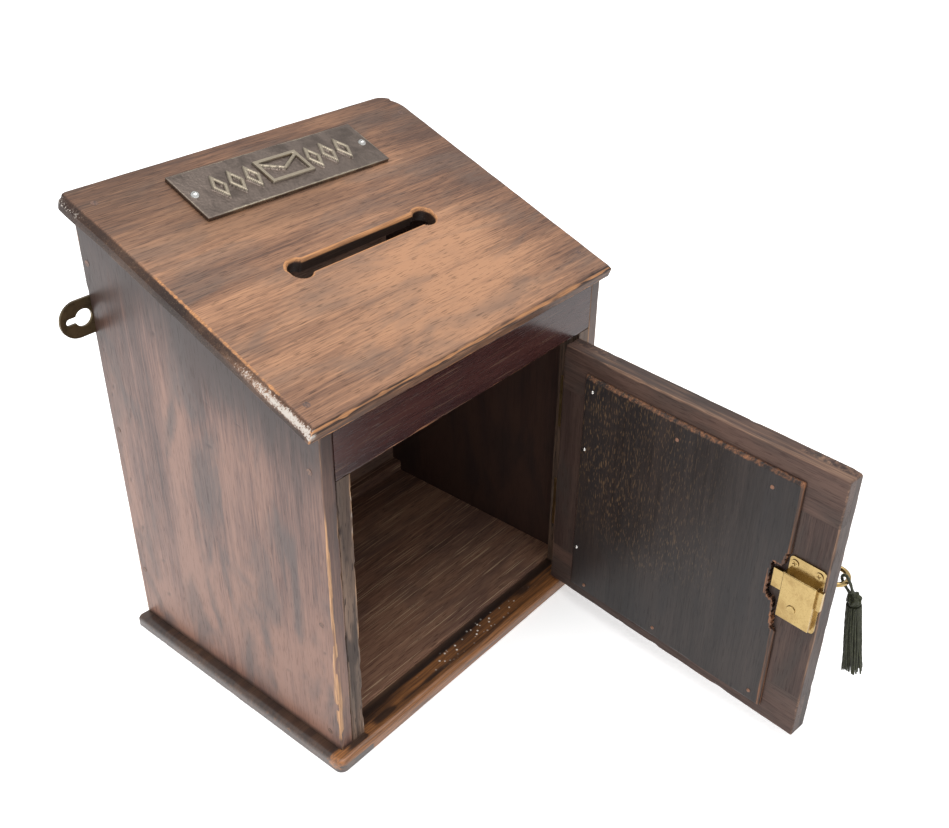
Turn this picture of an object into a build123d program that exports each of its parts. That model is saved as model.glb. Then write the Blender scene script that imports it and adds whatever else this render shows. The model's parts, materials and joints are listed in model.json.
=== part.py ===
from build123d import *
import os
from math import acos, cos, pi, radians, sin, tan

os.makedirs("parts", exist_ok=True)

# A wooden letter box: a carcase on a base board, a sloping lid with a letter slot and a name plate,
# and a framed door with a lock, a key and a tassel.
# X runs to the right seen from the front, Y to the back, Z up.
# The origin is the middle of the base's underside, halfway between the carcase's front and back.
# The door stands open in the rest position.

# Carcase
body_width = 230.0
body_depth = 180.0
front_height = 219.3  # top of the sides at the front, above the base's underside
side_thickness = 8.7
back_thickness = 10.5
base_thickness = 8.5
base_side_overhang = 7.8
base_front_overhang = 7.2
base_corner_radius = 4.0
base_top_rounding = 3.6
floor_thickness = 3.0
floor_clearance = 0.2
batten_height = 8.0
batten_depth = 8.0
stile_width = 9.5
frame_depth = 13.4  # front rail and stiles, from front to back
front_rail_height = 29.6  # at the front, from the doorway to the lid
worn_edge = 0.7  # rounding of worn arrises

# Lid
lid_angle = 20.8
lid_thickness = 8.4
lid_side_overhang = 7.5
lid_front_overhang = 1.0
lid_bevel = 2.6
lid_left_corner_radius = 4.0
lid_right_corner_radius = 16.0
lid_worn_edge = 0.6

# Letter slot, two bored ends joined by a sawn slot
slot_width = 9.5
slot_end_diameter = 14.0
slot_end_spacing = 96.6
slot_x = -1.3
slot_up_slope = 88.2  # from the carcase's front, along the slope
slot_worn_edge = 0.8

# Name plate, with a plain relief of an envelope between rows of lozenges
plate_width = 134.0
plate_height = 38.0
plate_thickness = 2.6
plate_x = -1.2
plate_down_slope = 34.85  # from the lid's back edge, along the slope
plate_tilt = -1.2
plate_screw_inset = 5.4  # from the plate's end
relief_height = 1.3
relief_band = 19.6
relief_stroke = 2.3
envelope_width = 31.0
lozenge_width = 9.6
lozenge_pitch = 11.4
lozenges_each_side = 3

# Hanging plates, let into the back
hanger_height = 22.0
hanger_reach = 20.0  # beyond the carcase's side
hanger_seat = 24.0  # over the carcase's back
hanger_thickness = 1.6
hanger_below_lid = 63.676  # from the lid's underside at the back to the plates' middle
keyhole_radius = 5.15
keyhole_reach = 5.7  # middle of the round hole, beyond the carcase's side
hanging_slot_width = 4.0
hanging_slot_length = 10.7  # from the middle of the round hole to the slot's end

# Door
door_open_angle = 82.9
door_thickness = 13.0
door_stile_width = 33.0
door_rail_width = 29.2
hinge_gap = 0.8
lock_gap = 2.0
door_bottom_gap = 0.9
door_top_gap = 1.7
door_corner_radius = 2.2
panel_opening_chamfer = 2.5
panel_hinge_border = 19.6  # from the door's hinge edge to the panel
panel_lock_border = 22.2
panel_bottom_border = 8.2
panel_top_border = 11.6
panel_thickness = 3.2
panel_bevel = 1.5

# Butt hinges
pin_standoff = 0.8  # from the carcase's front face to the hinge axis
hinge_length = 38.0
hinge_leaf_width = 11.6
hinge_leaf_thickness = 1.0
knuckle_radius = 2.0
knuckle_gap = 0.1
knuckle_clearance = 0.3
hinge_pin_radius = 0.95
hinge_pin_running_clearance = 0.05
hinge_pin_fixed_clearance = 0.02
hinge_from_rail = 2.0  # from each rail of the door to the hinge's end

# Lock, screwed to the door's inner face
key_above_middle = 1.3  # from the door's mid height to the key's axis
lock_backset = 13.7  # from the door's lock edge to the key's axis
lock_plate_edge_gap = 0.8
plate_above_case = 9.4
plate_below_case = 3.3
lock_plate_thickness = 1.0
lock_plate_corner_radius = 2.4
case_edge_gap = 1.5  # from the case to the plate's edge beside the door's lock edge
case_above_bolt = 2.4
case_below_bit = 1.6
case_depth = 4.8  # above the lock's plate
case_wall = 0.9
case_bit_clearance = 0.3
case_edge_radius = 0.7
talon_bite = 1.1  # of the key's bit into the bolt's lower edge
bolt_height = 12.3
bolt_thickness = 2.1
bolt_length = 30.0
bolt_nose_proud = 0.8  # past the door's lock edge when drawn back
bolt_clearance = 0.15
bolt_throw = 7.0
talon_play = 0.3  # round the key's bit in the notch of the bolt's lower edge
spring_thickness = 0.35
spring_width = 1.6
drill_pin_radius = 1.2
drill_pin_length = 8.0
drill_pin_head_radius = 2.65
drill_pin_head_height = 0.6

# Key
key_stem_radius = 2.0
key_bore_clearance = 0.08
key_tip_clearance = 0.4
bit_reach = 7.4  # from the key's axis
bit_thickness = 1.7
bit_length = 3.0
collar_radius = 3.0
collar_length = 2.0
collar_standoff = 1.2
bow_radius = 8.2  # to the middle of the bow's wire
bow_wire_radius = 1.5
bow_distance = 23.0  # from the hinge axis's plane to the bow's middle
keyhole_clearance = 0.6
escutcheon_wall = 0.9
escutcheon_depth = 2.5

# Tassel, on a loop of cord round the bow
cord_diameter = 1.9
cord_bow_gap = 0.15
loop_lean = 22.0  # degrees from the plumb line, its lower end away from the door
loop_rise = 6.4  # above the bow's wire, the cord is stiff
bend_share = 0.45  # of the shorter straight beside each bend of the cord
knot_radius = 4.85
knot_distance = 4.5  # beyond the bow's wire
knot_drop = 13.3  # below the bow's wire, along the loop
knot_gap = 0.15  # from the knot to the loop's ends
knot_flat = 0.9  # where the skirt starts, as a share of the knot's radius
skirt_length = 49.8
skirt_top_radius = 4.4
skirt_middle_radius = 5.3
skirt_bottom_radius = 6.9
skirt_lean = 7.6  # degrees from the plumb line, away from the hinges
skirt_outward_lean = 5.3  # degrees, away from the door

# Fasteners and their holes
hole_clearance = 0.06
nail_radius = 0.9
nail_head_radius = 1.9
nail_head_height = 1.4
carcase_nail_length = 15.0
lid_nail_length = 26.0
base_screw_radius = 1.6
base_screw_length = 24.0
base_screw_head_radius = 3.4
base_screw_head_height = 2.4
small_screw_radius = 1.0
small_screw_head_radius = 1.9
small_screw_head_height = 1.0
hinge_screw_length = 7.5
lock_screw_length = 8.0
lock_screw_head_height = 1.3
lock_screw_head_radius = 2.3
lock_pin_radius = 0.8
lock_pin_head_radius = 1.1
hanger_screw_length = 9.0
plate_screw_length = 9.0
plate_screw_ball_radius = 2.7
plate_screw_ball_depth = 0.9
panel_pin_radius = 0.6
panel_pin_length = 9.0
panel_pin_ball_radius = 1.25
panel_pin_ball_depth = 0.35
driver_slot_width = 0.6
driver_slot_depth = 0.6

# Lengths and places that follow from the sizes above
half_width = body_width / 2
front_y = -body_depth / 2
back_y = body_depth / 2
inner_half_width = half_width - side_thickness
opening_half_width = inner_half_width - stile_width
frame_back_y = front_y + frame_depth
back_inner_y = back_y - back_thickness
opening_top = front_height - front_rail_height
floor_top = base_thickness + floor_thickness
slope = radians(lid_angle)
hanger_z = front_height + body_depth * tan(slope) - hanger_below_lid

lid_plane = Plane(
    origin=(0, front_y, front_height), x_dir=(1, 0, 0), z_dir=(0, -sin(slope), cos(slope))
)
lid_top_plane = lid_plane.offset(lid_thickness)
lid_length = body_depth / cos(slope)
lid_half_width = half_width + lid_side_overhang

axis_x = opening_half_width - hinge_gap / 2
axis_y = front_y - pin_standoff
opened = radians(door_open_angle)
# On the door's plane x runs from the hinges to the lock edge, y up and z to the door's inner face.
door_plane = Plane(
    origin=(axis_x, axis_y, 0),
    x_dir=(-cos(opened), -sin(opened), 0),
    z_dir=(-sin(opened), cos(opened), 0),
)
door_near = hinge_gap / 2
door_far = axis_x + opening_half_width - lock_gap
door_bottom = base_thickness + door_bottom_gap
door_top = opening_top - door_top_gap
door_outer = pin_standoff
door_inner = door_outer + door_thickness
door_middle = (door_outer + door_inner) / 2
hinge_heights = {
    "lower": door_bottom + door_rail_width + hinge_from_rail + hinge_length / 2,
    "upper": door_top - door_rail_width - hinge_from_rail - hinge_length / 2,
}
panel_near = door_near + panel_hinge_border
panel_far = door_far - panel_lock_border
panel_bottom = door_bottom + panel_bottom_border
panel_top = door_top - panel_top_border
panel_face = door_inner + panel_thickness

lock_far = door_far - lock_plate_edge_gap
key_u = door_far - lock_backset
lock_key_height = (door_bottom + door_top) / 2 + key_above_middle
lock_near = key_u - bit_reach - case_bit_clearance - case_wall
plate_face = door_inner + lock_plate_thickness
case_face = plate_face + case_depth
case_near = lock_near
case_far = lock_far - case_edge_gap
bolt_far = door_far + bolt_nose_proud
bolt_near = bolt_far - bolt_length
bolt_above_key = bit_reach - talon_bite
bolt_bottom = lock_key_height + bolt_above_key
bolt_top = bolt_bottom + bolt_height
case_bottom = lock_key_height - bit_reach - case_below_bit
case_top = bolt_top + case_above_bolt
lock_plate_bottom = case_bottom - plate_below_case
lock_plate_top = case_top + plate_above_case
bolt_back = plate_face + bolt_clearance
pin_fit_radius = drill_pin_radius + key_bore_clearance
bow_v = -bow_distance
# The talon clears the bit while it passes: the bolt moves by its throw in the key's half turn.
bit_meeting = acos(bolt_above_key / bit_reach)
bit_swing = bit_reach * sin(bit_meeting) + bit_thickness / 2
talon_back = bit_swing + bolt_throw * (0.5 - bit_meeting / pi) + talon_play
talon_front = bit_swing - bolt_throw * (0.5 + bit_meeting / pi) + talon_play
talon_depth = talon_bite + 2 * talon_play


def underside(y):
    # height of the lid's underside above the base's underside
    return front_height + (y - front_y) * tan(slope)


def block(plane, x_from, x_to, y_from, y_to, thickness, mode=Mode.ADD):
    # a rectangular block standing on a plane
    with BuildSketch(plane) as outline:
        with Locations(((x_from + x_to) / 2, (y_from + y_to) / 2)):
            Rectangle(x_to - x_from, y_to - y_from)
    extrude(outline.sketch, amount=thickness, mode=mode)


def sloped_board(x_from, x_to, y_from, y_to, z_from):
    # an upright board whose top follows the lid's underside
    with BuildSketch(Plane.YZ.offset(x_from)) as profile:
        with BuildLine():
            Polyline(
                (y_from, z_from), (y_to, z_from), (y_to, underside(y_to)), (y_from, underside(y_from)),
                close=True,
            )
        make_face()
    extrude(profile.sketch, amount=x_to - x_from)


def edges_where(piece, plane=Plane.XY, x=None, y=None, z=None):
    # the edges whose ends both lie at the given coordinates of a plane
    def matches(point):
        wanted = ((point.X, x), (point.Y, y), (point.Z, z))
        return all(goal is None or abs(value - goal) < 0.01 for value, goal in wanted)

    return piece.edges().filter_by(
        lambda edge: all(matches(plane.to_local_coords(corner.center())) for corner in edge.vertices())
    )


def door_spot(u, z, v):
    # a place on the door, its Z axis pointing out of the inner face
    return door_plane.location * Location((u, z, v))


def nails(places, length, head_radius=nail_head_radius, clearance=0.0, mode=Mode.ADD):
    # nails with flat heads, flush at each place
    lowered = (Align.CENTER, Align.CENTER, Align.MAX)
    with Locations(*places):
        Cylinder(nail_radius + clearance, length, align=lowered, mode=mode)
        Cylinder(head_radius + clearance, nail_head_height, align=lowered, mode=mode)


def screws(places, radius, length, head_radius, head_height, clearance=0.0, mode=Mode.ADD):
    # countersunk wood screws, flush at each place
    lowered = (Align.CENTER, Align.CENTER, Align.MAX)
    with Locations(*places):
        Cylinder(radius + clearance, length, align=lowered, mode=mode)
        Cone(radius + clearance, head_radius + clearance, head_height, align=lowered, mode=mode)


def ball_heads(places, radius, length, ball_radius, ball_depth, clearance=0.0, mode=Mode.ADD):
    # pins or screws with round heads, sunk to ball_depth below the middle of the ball
    lowered = (Align.CENTER, Align.CENTER, Align.MAX)
    with Locations(*places):
        Cylinder(radius + clearance, length, align=lowered, mode=mode)
        with Locations((0, 0, -ball_depth)):
            Sphere(ball_radius + clearance, mode=mode)


def driver_slots(places, length, top):
    # a straight slot across each head
    with Locations(*places):
        with Locations((0, 0, top)):
            Box(
                length, driver_slot_width, driver_slot_depth,
                align=(Align.CENTER, Align.CENTER, Align.MAX), mode=Mode.SUBTRACT,
            )


# Places of the fasteners
left_nails = []
right_nails = []
front_nail_y = front_y + 8.9
back_nail_y = back_y - back_thickness / 2
front_nail_heights = (base_thickness + 9.5, lock_key_height - 2.0, front_height - 23.3)
back_nail_heights = (base_thickness + 36.5, front_height - 69.3, front_height + 35.7)
for nail_y, nail_heights in ((front_nail_y, front_nail_heights), (back_nail_y, back_nail_heights)):
    for height in nail_heights:
        left_nails.append(Location(Plane((-half_width, nail_y, height), z_dir=(-1, 0, 0))))
        right_nails.append(Location(Plane((half_width, nail_y, height), z_dir=(1, 0, 0))))

lid_nail_places = [
    lid_top_plane.location * Location((x, along, 0))
    for x, along in (
        (-half_width + 4.0, lid_length - 14.25), (half_width - 2.9, lid_length - 19.55),
        (-half_width + 2.9, 14.0), (half_width - 3.6, 18.9),
    )
]

side_middle = half_width - side_thickness / 2
base_screw_places = [
    Location(Plane((side * side_middle, y, 0), z_dir=(0, 0, -1))) for side in (-1, 1)
    for y in (front_y + 32.0, 0, back_y - 32.0)
]

plate_seat = Location((plate_x, lid_length - plate_down_slope, 0), (0, 0, plate_tilt))
plate_plane = Plane(lid_top_plane.location * plate_seat)
plate_top_plane = plate_plane.offset(plate_thickness)
plate_screw_x = plate_width / 2 - plate_screw_inset
plate_screw_places = [
    plate_top_plane.location * Location((side * plate_screw_x, 0, 0)) for side in (-1, 1)
]

hanger_screw_x = half_width - hanger_seat + 6.5
hanger_screw_rise = 5.4
hanger_screw_places = {
    side: [
        Location(Plane((side * hanger_screw_x, back_y, hanger_z + rise), z_dir=(0, 1, 0)))
        for rise in (-hanger_screw_rise, hanger_screw_rise)
    ]
    for side in (-1, 1)
}

hinge_screw_rises = (-13.0, 0.0, 13.0)
hinge_screw_v = door_outer + 7.0
hinge_u_dir = door_plane.x_dir
door_hinge_screws = []
frame_hinge_screws = []
for middle in hinge_heights.values():
    for rise in hinge_screw_rises:
        seat = door_plane.from_local_coords(Vector(door_near, middle + rise, hinge_screw_v))
        door_hinge_screws.append(Location(Plane(seat, z_dir=-hinge_u_dir)))
        seat = Vector(opening_half_width, axis_y + hinge_screw_v, middle + rise)
        frame_hinge_screws.append(Location(Plane(seat, z_dir=(-1, 0, 0))))

lock_screw_places = [
    door_spot(lock_near + 3.1, lock_plate_top - 4.2, plate_face + small_screw_head_height / 2),
    door_spot(lock_far - 3.6, lock_plate_top - 4.2, plate_face + small_screw_head_height / 2),
]
lock_pin_places = [
    door_spot(lock_near + 3.4, lock_plate_bottom + 1.6, plate_face),
    door_spot(lock_far - 2.2, lock_plate_bottom + 1.6, plate_face),
]

panel_pin_places = [
    door_spot(u, z, panel_face)
    for u, z in (
        (panel_near + 4.2, panel_top - 50.4), (panel_near + 4.2, panel_bottom + 32.4),
        (panel_near + 7.0, panel_top - 8.7), (panel_near + 70.0, panel_top - 11.3),
        (panel_far - 17.0, panel_top - 10.3), (panel_near + 13.0, panel_bottom + 5.7),
        (panel_near + 70.0, panel_bottom + 7.6), (panel_far - 7.5, panel_bottom + 8.0),
    )
]

# Base board
with BuildPart() as base_board:
    block(
        Plane.XY, -half_width - base_side_overhang, half_width + base_side_overhang,
        front_y - base_front_overhang, back_y, base_thickness,
    )
    fillet(
        edges_where(base_board, y=front_y - base_front_overhang).filter_by(Axis.Z), base_corner_radius
    )
    rounded = base_board.faces().sort_by(Axis.Z)[-1].edges()
    fillet(rounded.filter_by(lambda edge: edge.center().Y < back_y - 0.01), base_top_rounding)
    screws(
        base_screw_places, base_screw_radius, base_screw_length, base_screw_head_radius,
        base_screw_head_height, hole_clearance, Mode.SUBTRACT,
    )
base_board.part.label = "base_board"

# Sides
for side, name, nail_places in ((-1, "left_side", left_nails), (1, "right_side", right_nails)):
    with BuildPart() as side_board:
        outer_x = side * half_width
        inner_x = side * inner_half_width
        sloped_board(min(outer_x, inner_x), max(outer_x, inner_x), front_y, back_y, base_thickness)
        fillet(edges_where(side_board, x=outer_x, y=front_y), worn_edge)
        nails(nail_places, carcase_nail_length, clearance=hole_clearance, mode=Mode.SUBTRACT)
        nails(lid_nail_places, lid_nail_length, clearance=hole_clearance, mode=Mode.SUBTRACT)
        screws(
            base_screw_places, base_screw_radius, base_screw_length, base_screw_head_radius,
            base_screw_head_height, hole_clearance, Mode.SUBTRACT,
        )
        block(
            Plane.XZ.offset(-back_y), min(outer_x, inner_x), max(outer_x, inner_x),
            hanger_z - hanger_height / 2, hanger_z + hanger_height / 2, hanger_thickness, Mode.SUBTRACT,
        )
    side_board.part.label = name
    export_step(side_board.part, f"parts/{name}.step")

# Back board
with BuildPart() as back_board:
    sloped_board(-inner_half_width, inner_half_width, back_inner_y, back_y, base_thickness)
    nails(left_nails + right_nails, carcase_nail_length, clearance=hole_clearance, mode=Mode.SUBTRACT)
    for side in (-1, 1):
        seat_end = side * (half_width - hanger_seat)
        edge_x = side * inner_half_width
        block(
            Plane.XZ.offset(-back_y), min(seat_end, edge_x), max(seat_end, edge_x),
            hanger_z - hanger_height / 2, hanger_z + hanger_height / 2, hanger_thickness, Mode.SUBTRACT,
        )
        screws(
            hanger_screw_places[side], small_screw_radius, hanger_screw_length, small_screw_head_radius,
            small_screw_head_height, hole_clearance, Mode.SUBTRACT,
        )
back_board.part.label = "back_board"

# Front frame
with BuildPart() as front_top_rail:
    sloped_board(-inner_half_width, inner_half_width, front_y, frame_back_y, opening_top)
    fillet(edges_where(front_top_rail, y=front_y, z=opening_top), worn_edge)
    nails(left_nails + right_nails, carcase_nail_length, clearance=hole_clearance, mode=Mode.SUBTRACT)
front_top_rail.part.label = "front_top_rail"

for side, name, nail_places in (
    (-1, "front_left_stile", left_nails), (1, "front_right_stile", right_nails)
):
    with BuildPart() as stile:
        outer_x = side * inner_half_width
        inner_x = side * opening_half_width
        block(
            Plane.XY.offset(base_thickness), min(outer_x, inner_x), max(outer_x, inner_x),
            front_y, frame_back_y, opening_top - base_thickness,
        )
        fillet(edges_where(stile, x=inner_x, y=front_y), worn_edge)
        nails(nail_places, carcase_nail_length, clearance=hole_clearance, mode=Mode.SUBTRACT)
        if side > 0:
            # seats for the hinges' leaves and knuckles
            for middle in hinge_heights.values():
                low = middle - hinge_length / 2
                block(
                    Plane.XY.offset(low), inner_x, inner_x + hinge_leaf_thickness,
                    front_y, axis_y + door_outer + hinge_leaf_width, hinge_length, Mode.SUBTRACT,
                )
                with Locations((axis_x, axis_y, middle)):
                    Cylinder(
                        knuckle_radius + knuckle_clearance, hinge_length + 2 * knuckle_clearance,
                        mode=Mode.SUBTRACT,
                    )
            screws(
                frame_hinge_screws, small_screw_radius, hinge_screw_length, small_screw_head_radius,
                small_screw_head_height, hole_clearance, Mode.SUBTRACT,
            )
    stile.part.label = name
    export_step(stile.part, f"parts/{name}.step")

# Floor board and the batten along its back edge
with BuildPart() as floor_board:
    block(
        Plane.XY.offset(base_thickness), -inner_half_width + floor_clearance,
        inner_half_width - floor_clearance, frame_back_y + floor_clearance,
        back_inner_y - floor_clearance, floor_thickness,
    )
    fillet(edges_where(floor_board, y=frame_back_y + floor_clearance, z=floor_top), worn_edge)
floor_board.part.label = "floor_board"

with BuildPart() as back_batten:
    block(
        Plane.XY.offset(floor_top), -inner_half_width + floor_clearance,
        inner_half_width - floor_clearance, back_inner_y - batten_depth,
        back_inner_y, batten_height,
    )
    fillet(edges_where(back_batten, y=back_inner_y - batten_depth, z=floor_top + batten_height), worn_edge)
back_batten.part.label = "back_batten"

# Lid
with BuildPart() as top_lid:
    block(
        lid_plane, -lid_half_width, lid_half_width, -lid_front_overhang, lid_length, lid_thickness
    )
    fillet(edges_where(top_lid, lid_plane, x=-lid_half_width, y=lid_length), lid_left_corner_radius)
    fillet(edges_where(top_lid, lid_plane, x=lid_half_width, y=lid_length), lid_right_corner_radius)
    top_face = top_lid.faces().sort_by(Axis((0, 0, 0), lid_plane.z_dir))[-1]
    bevelled = top_face.edges().filter_by(
        lambda edge: lid_plane.to_local_coords(edge.center()).Y < lid_length - lid_right_corner_radius - 0.01
    )
    chamfer(bevelled, lid_bevel)
    top_face = top_lid.faces().sort_by(Axis((0, 0, 0), lid_plane.z_dir))[-1]
    fillet(top_face.edges(), lid_worn_edge)
    with BuildSketch(lid_plane) as slot_outline:
        with Locations((slot_x, slot_up_slope)):
            Rectangle(slot_end_spacing, slot_width)
            with GridLocations(slot_end_spacing, 0, 2, 1):
                Circle(slot_end_diameter / 2)
    extrude(slot_outline.sketch, amount=lid_thickness, mode=Mode.SUBTRACT)
    top_face = top_lid.faces().sort_by(Axis((0, 0, 0), lid_plane.z_dir))[-1]
    fillet(top_face.inner_wires()[0].edges(), slot_worn_edge)
    nails(lid_nail_places, lid_nail_length, clearance=hole_clearance, mode=Mode.SUBTRACT)
    ball_heads(
        plate_screw_places, small_screw_radius, plate_screw_length, plate_screw_ball_radius,
        plate_screw_ball_depth, hole_clearance, Mode.SUBTRACT,
    )
top_lid.part.label = "top_lid"

# Nails and screws of the carcase
with BuildPart() as carcase_nails:
    nails(left_nails + right_nails, carcase_nail_length)
carcase_nails.part.label = "carcase_nails"

with BuildPart() as lid_nails:
    nails(lid_nail_places, lid_nail_length)
lid_nails.part.label = "lid_nails"

with BuildPart() as base_screws:
    screws(
        base_screw_places, base_screw_radius, base_screw_length, base_screw_head_radius,
        base_screw_head_height,
    )
    driver_slots(base_screw_places, 2 * base_screw_head_radius, 0)
base_screws.part.label = "base_screws"

# Name plate
with BuildPart() as name_plate:
    block(
        plate_plane, -plate_width / 2, plate_width / 2, -plate_height / 2, plate_height / 2,
        plate_thickness,
    )
    with BuildSketch(plate_top_plane) as envelope:
        Rectangle(envelope_width, relief_band)
        offset(amount=-relief_stroke, mode=Mode.SUBTRACT)
        flap_x = envelope_width / 2 - relief_stroke
        flap_y = relief_band / 2 - relief_stroke
        flap_point = -relief_stroke
        with BuildLine():
            Polyline(
                (-flap_x, flap_y), (0, flap_point + relief_stroke), (flap_x, flap_y),
                (flap_x, flap_y - relief_stroke), (0, flap_point), (-flap_x, flap_y - relief_stroke),
                close=True,
            )
        make_face()
    extrude(envelope.sketch, amount=relief_height)
    first_lozenge = envelope_width / 2 + lozenge_pitch / 2 + 1.2
    lozenge_places = [
        (side * (first_lozenge + number * lozenge_pitch), 0)
        for side in (-1, 1)
        for number in range(lozenges_each_side)
    ]
    with BuildSketch(plate_top_plane) as lozenges:
        with Locations(*lozenge_places):
            Polygon(
                (lozenge_width / 2, 0), (0, relief_band / 2), (-lozenge_width / 2, 0), (0, -relief_band / 2)
            )
            Polygon(
                (lozenge_width / 2 - relief_stroke, 0), (0, relief_band / 2 - 2 * relief_stroke),
                (relief_stroke - lozenge_width / 2, 0), (0, 2 * relief_stroke - relief_band / 2),
                mode=Mode.SUBTRACT,
            )
    extrude(lozenges.sketch, amount=relief_height)
    ball_heads(
        plate_screw_places, small_screw_radius, plate_screw_length, plate_screw_ball_radius,
        plate_screw_ball_depth, hole_clearance, Mode.SUBTRACT,
    )
name_plate.part.label = "name_plate"

with BuildPart() as name_plate_screws:
    ball_heads(
        plate_screw_places, small_screw_radius, plate_screw_length, plate_screw_ball_radius,
        plate_screw_ball_depth,
    )
    driver_slots(
        plate_screw_places, 2 * plate_screw_ball_radius, plate_screw_ball_radius - plate_screw_ball_depth
    )
name_plate_screws.part.label = "name_plate_screws"

# Hanging plates
for side, name in ((-1, "hanging_plate_left"), (1, "hanging_plate_right")):
    with BuildPart() as hanging_plate:
        hole_x = side * (half_width + keyhole_reach)
        slot_end_x = hole_x + side * (hanging_slot_length - hanging_slot_width / 2)
        end_x = side * (half_width + hanger_reach - hanger_height / 2)
        inner_end = side * (half_width - hanger_seat)
        with BuildSketch(Plane.XZ.offset(-back_y)) as hanger_outline:
            with Locations(((end_x + inner_end) / 2, hanger_z)):
                Rectangle(abs(end_x - inner_end), hanger_height)
            with Locations((end_x, hanger_z)):
                Circle(hanger_height / 2)
            with Locations((hole_x, hanger_z)):
                Circle(keyhole_radius, mode=Mode.SUBTRACT)
            with Locations(((hole_x + slot_end_x) / 2, hanger_z)):
                Rectangle(abs(slot_end_x - hole_x), hanging_slot_width, mode=Mode.SUBTRACT)
            with Locations((slot_end_x, hanger_z)):
                Circle(hanging_slot_width / 2, mode=Mode.SUBTRACT)
        extrude(hanger_outline.sketch, amount=hanger_thickness)
        screws(
            hanger_screw_places[side], small_screw_radius, hanger_screw_length, small_screw_head_radius,
            small_screw_head_height, hole_clearance, Mode.SUBTRACT,
        )
    hanging_plate.part.label = name
    export_step(hanging_plate.part, f"parts/{name}.step")

with BuildPart() as hanging_plate_screws:
    for side in (-1, 1):
        screws(
            hanger_screw_places[side], small_screw_radius, hanger_screw_length, small_screw_head_radius,
            small_screw_head_height,
        )
        driver_slots(hanger_screw_places[side], 2 * small_screw_head_radius, 0)
hanging_plate_screws.part.label = "hanging_plate_screws"


# Door frame, its corners half-lapped with the rails on the inner side
def panel_opening_edge():
    # the chamfer round the opening, seen from the outside
    with BuildSketch(door_plane.offset(door_outer)) as opening:
        with Locations(((door_near + door_far) / 2, (door_bottom + door_top) / 2)):
            Rectangle(
                door_far - door_near - 2 * door_stile_width + 2 * panel_opening_chamfer,
                door_top - door_bottom - 2 * door_rail_width + 2 * panel_opening_chamfer,
            )
    extrude(opening.sketch, amount=panel_opening_chamfer, taper=45, mode=Mode.SUBTRACT)


def panel_pin_holes():
    ball_heads(
        panel_pin_places, panel_pin_radius, panel_pin_length, panel_pin_ball_radius, panel_pin_ball_depth,
        hole_clearance, Mode.SUBTRACT,
    )


def keyhole(plane, depth, extra=0.0):
    # a round hole over a slot for the bit
    with BuildSketch(plane) as outline:
        with Locations((key_u, lock_key_height)):
            Circle(key_stem_radius + keyhole_clearance + extra)
        slot_half = bit_thickness / 2 + keyhole_clearance / 2 + extra
        with Locations((key_u, lock_key_height - (bit_reach + keyhole_clearance + extra) / 2)):
            Rectangle(2 * slot_half, bit_reach + keyhole_clearance + extra)
    extrude(outline.sketch, amount=depth, mode=Mode.SUBTRACT)


def round_outer_edges(piece):
    # worn arrises round the door's outline, on its outer and inner faces
    corner = edges_where(piece, door_plane, x=door_far, y=door_bottom)
    corner += edges_where(piece, door_plane, x=door_far, y=door_top)
    if corner:
        fillet(corner, door_corner_radius)
    outline = piece.faces().filter_by(
        lambda face: abs(face.normal_at().dot(door_plane.z_dir)) > 0.99
        and min(
            abs(door_plane.to_local_coords(face.center()).Z - door_outer),
            abs(door_plane.to_local_coords(face.center()).Z - door_inner),
        ) < 0.01
    ).edges()

    def exposed(edge):
        middle = door_plane.to_local_coords(edge.center())
        reach = door_corner_radius
        return (
            abs(middle.X - door_near) < 0.01 or middle.X > door_far - reach
            or middle.Y > door_top - 0.01 or middle.Y < door_bottom + 0.01
            or (middle.X > door_far - reach and middle.Y > door_top - reach)
            or (middle.X > door_far - reach and middle.Y < door_bottom + reach)
        )

    fillet(outline.filter_by(exposed), worn_edge)


for name, low in (("door_bottom_rail", door_bottom), ("door_top_rail", door_top - door_rail_width)):
    with BuildPart() as rail:
        block(
            door_plane.offset(door_middle), door_near, door_far, low, low + door_rail_width,
            door_inner - door_middle,
        )
        block(
            door_plane.offset(door_outer), door_near + door_stile_width, door_far - door_stile_width,
            low, low + door_rail_width, door_middle - door_outer,
        )
        round_outer_edges(rail)
        panel_opening_edge()
        panel_pin_holes()
    rail.part.label = name
    export_step(rail.part, f"parts/{name}.step")

for name, near in (
    ("door_hinge_stile", door_near), ("door_lock_stile", door_far - door_stile_width)
):
    with BuildPart() as door_stile:
        block(
            door_plane.offset(door_outer), near, near + door_stile_width, door_bottom, door_top,
            door_middle - door_outer,
        )
        block(
            door_plane.offset(door_middle), near, near + door_stile_width,
            door_bottom + door_rail_width, door_top - door_rail_width, door_inner - door_middle,
        )
        round_outer_edges(door_stile)
        panel_opening_edge()
        panel_pin_holes()
        if near == door_near:
            # seats for the hinges' leaves and knuckles
            for middle in hinge_heights.values():
                block(
                    door_plane.offset(door_outer), door_near, door_near + hinge_leaf_thickness,
                    middle - hinge_length / 2, middle + hinge_length / 2, hinge_leaf_width, Mode.SUBTRACT,
                )
                with Locations((axis_x, axis_y, middle)):
                    Cylinder(
                        knuckle_radius + knuckle_clearance, hinge_length + 2 * knuckle_clearance,
                        mode=Mode.SUBTRACT,
                    )
            screws(
                door_hinge_screws, small_screw_radius, hinge_screw_length, small_screw_head_radius,
                small_screw_head_height, hole_clearance, Mode.SUBTRACT,
            )
        else:
            keyhole(door_plane.offset(door_outer), door_thickness)
            keyhole(door_plane.offset(door_outer), escutcheon_depth, escutcheon_wall)
            screws(
                lock_screw_places, small_screw_radius, lock_screw_length, lock_screw_head_radius,
                lock_screw_head_height, hole_clearance, Mode.SUBTRACT,
            )
            screws(
                lock_pin_places, lock_pin_radius, lock_screw_length, lock_pin_head_radius,
                lock_screw_head_height, hole_clearance, Mode.SUBTRACT,
            )
    door_stile.part.label = name
    export_step(door_stile.part, f"parts/{name}.step")

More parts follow.
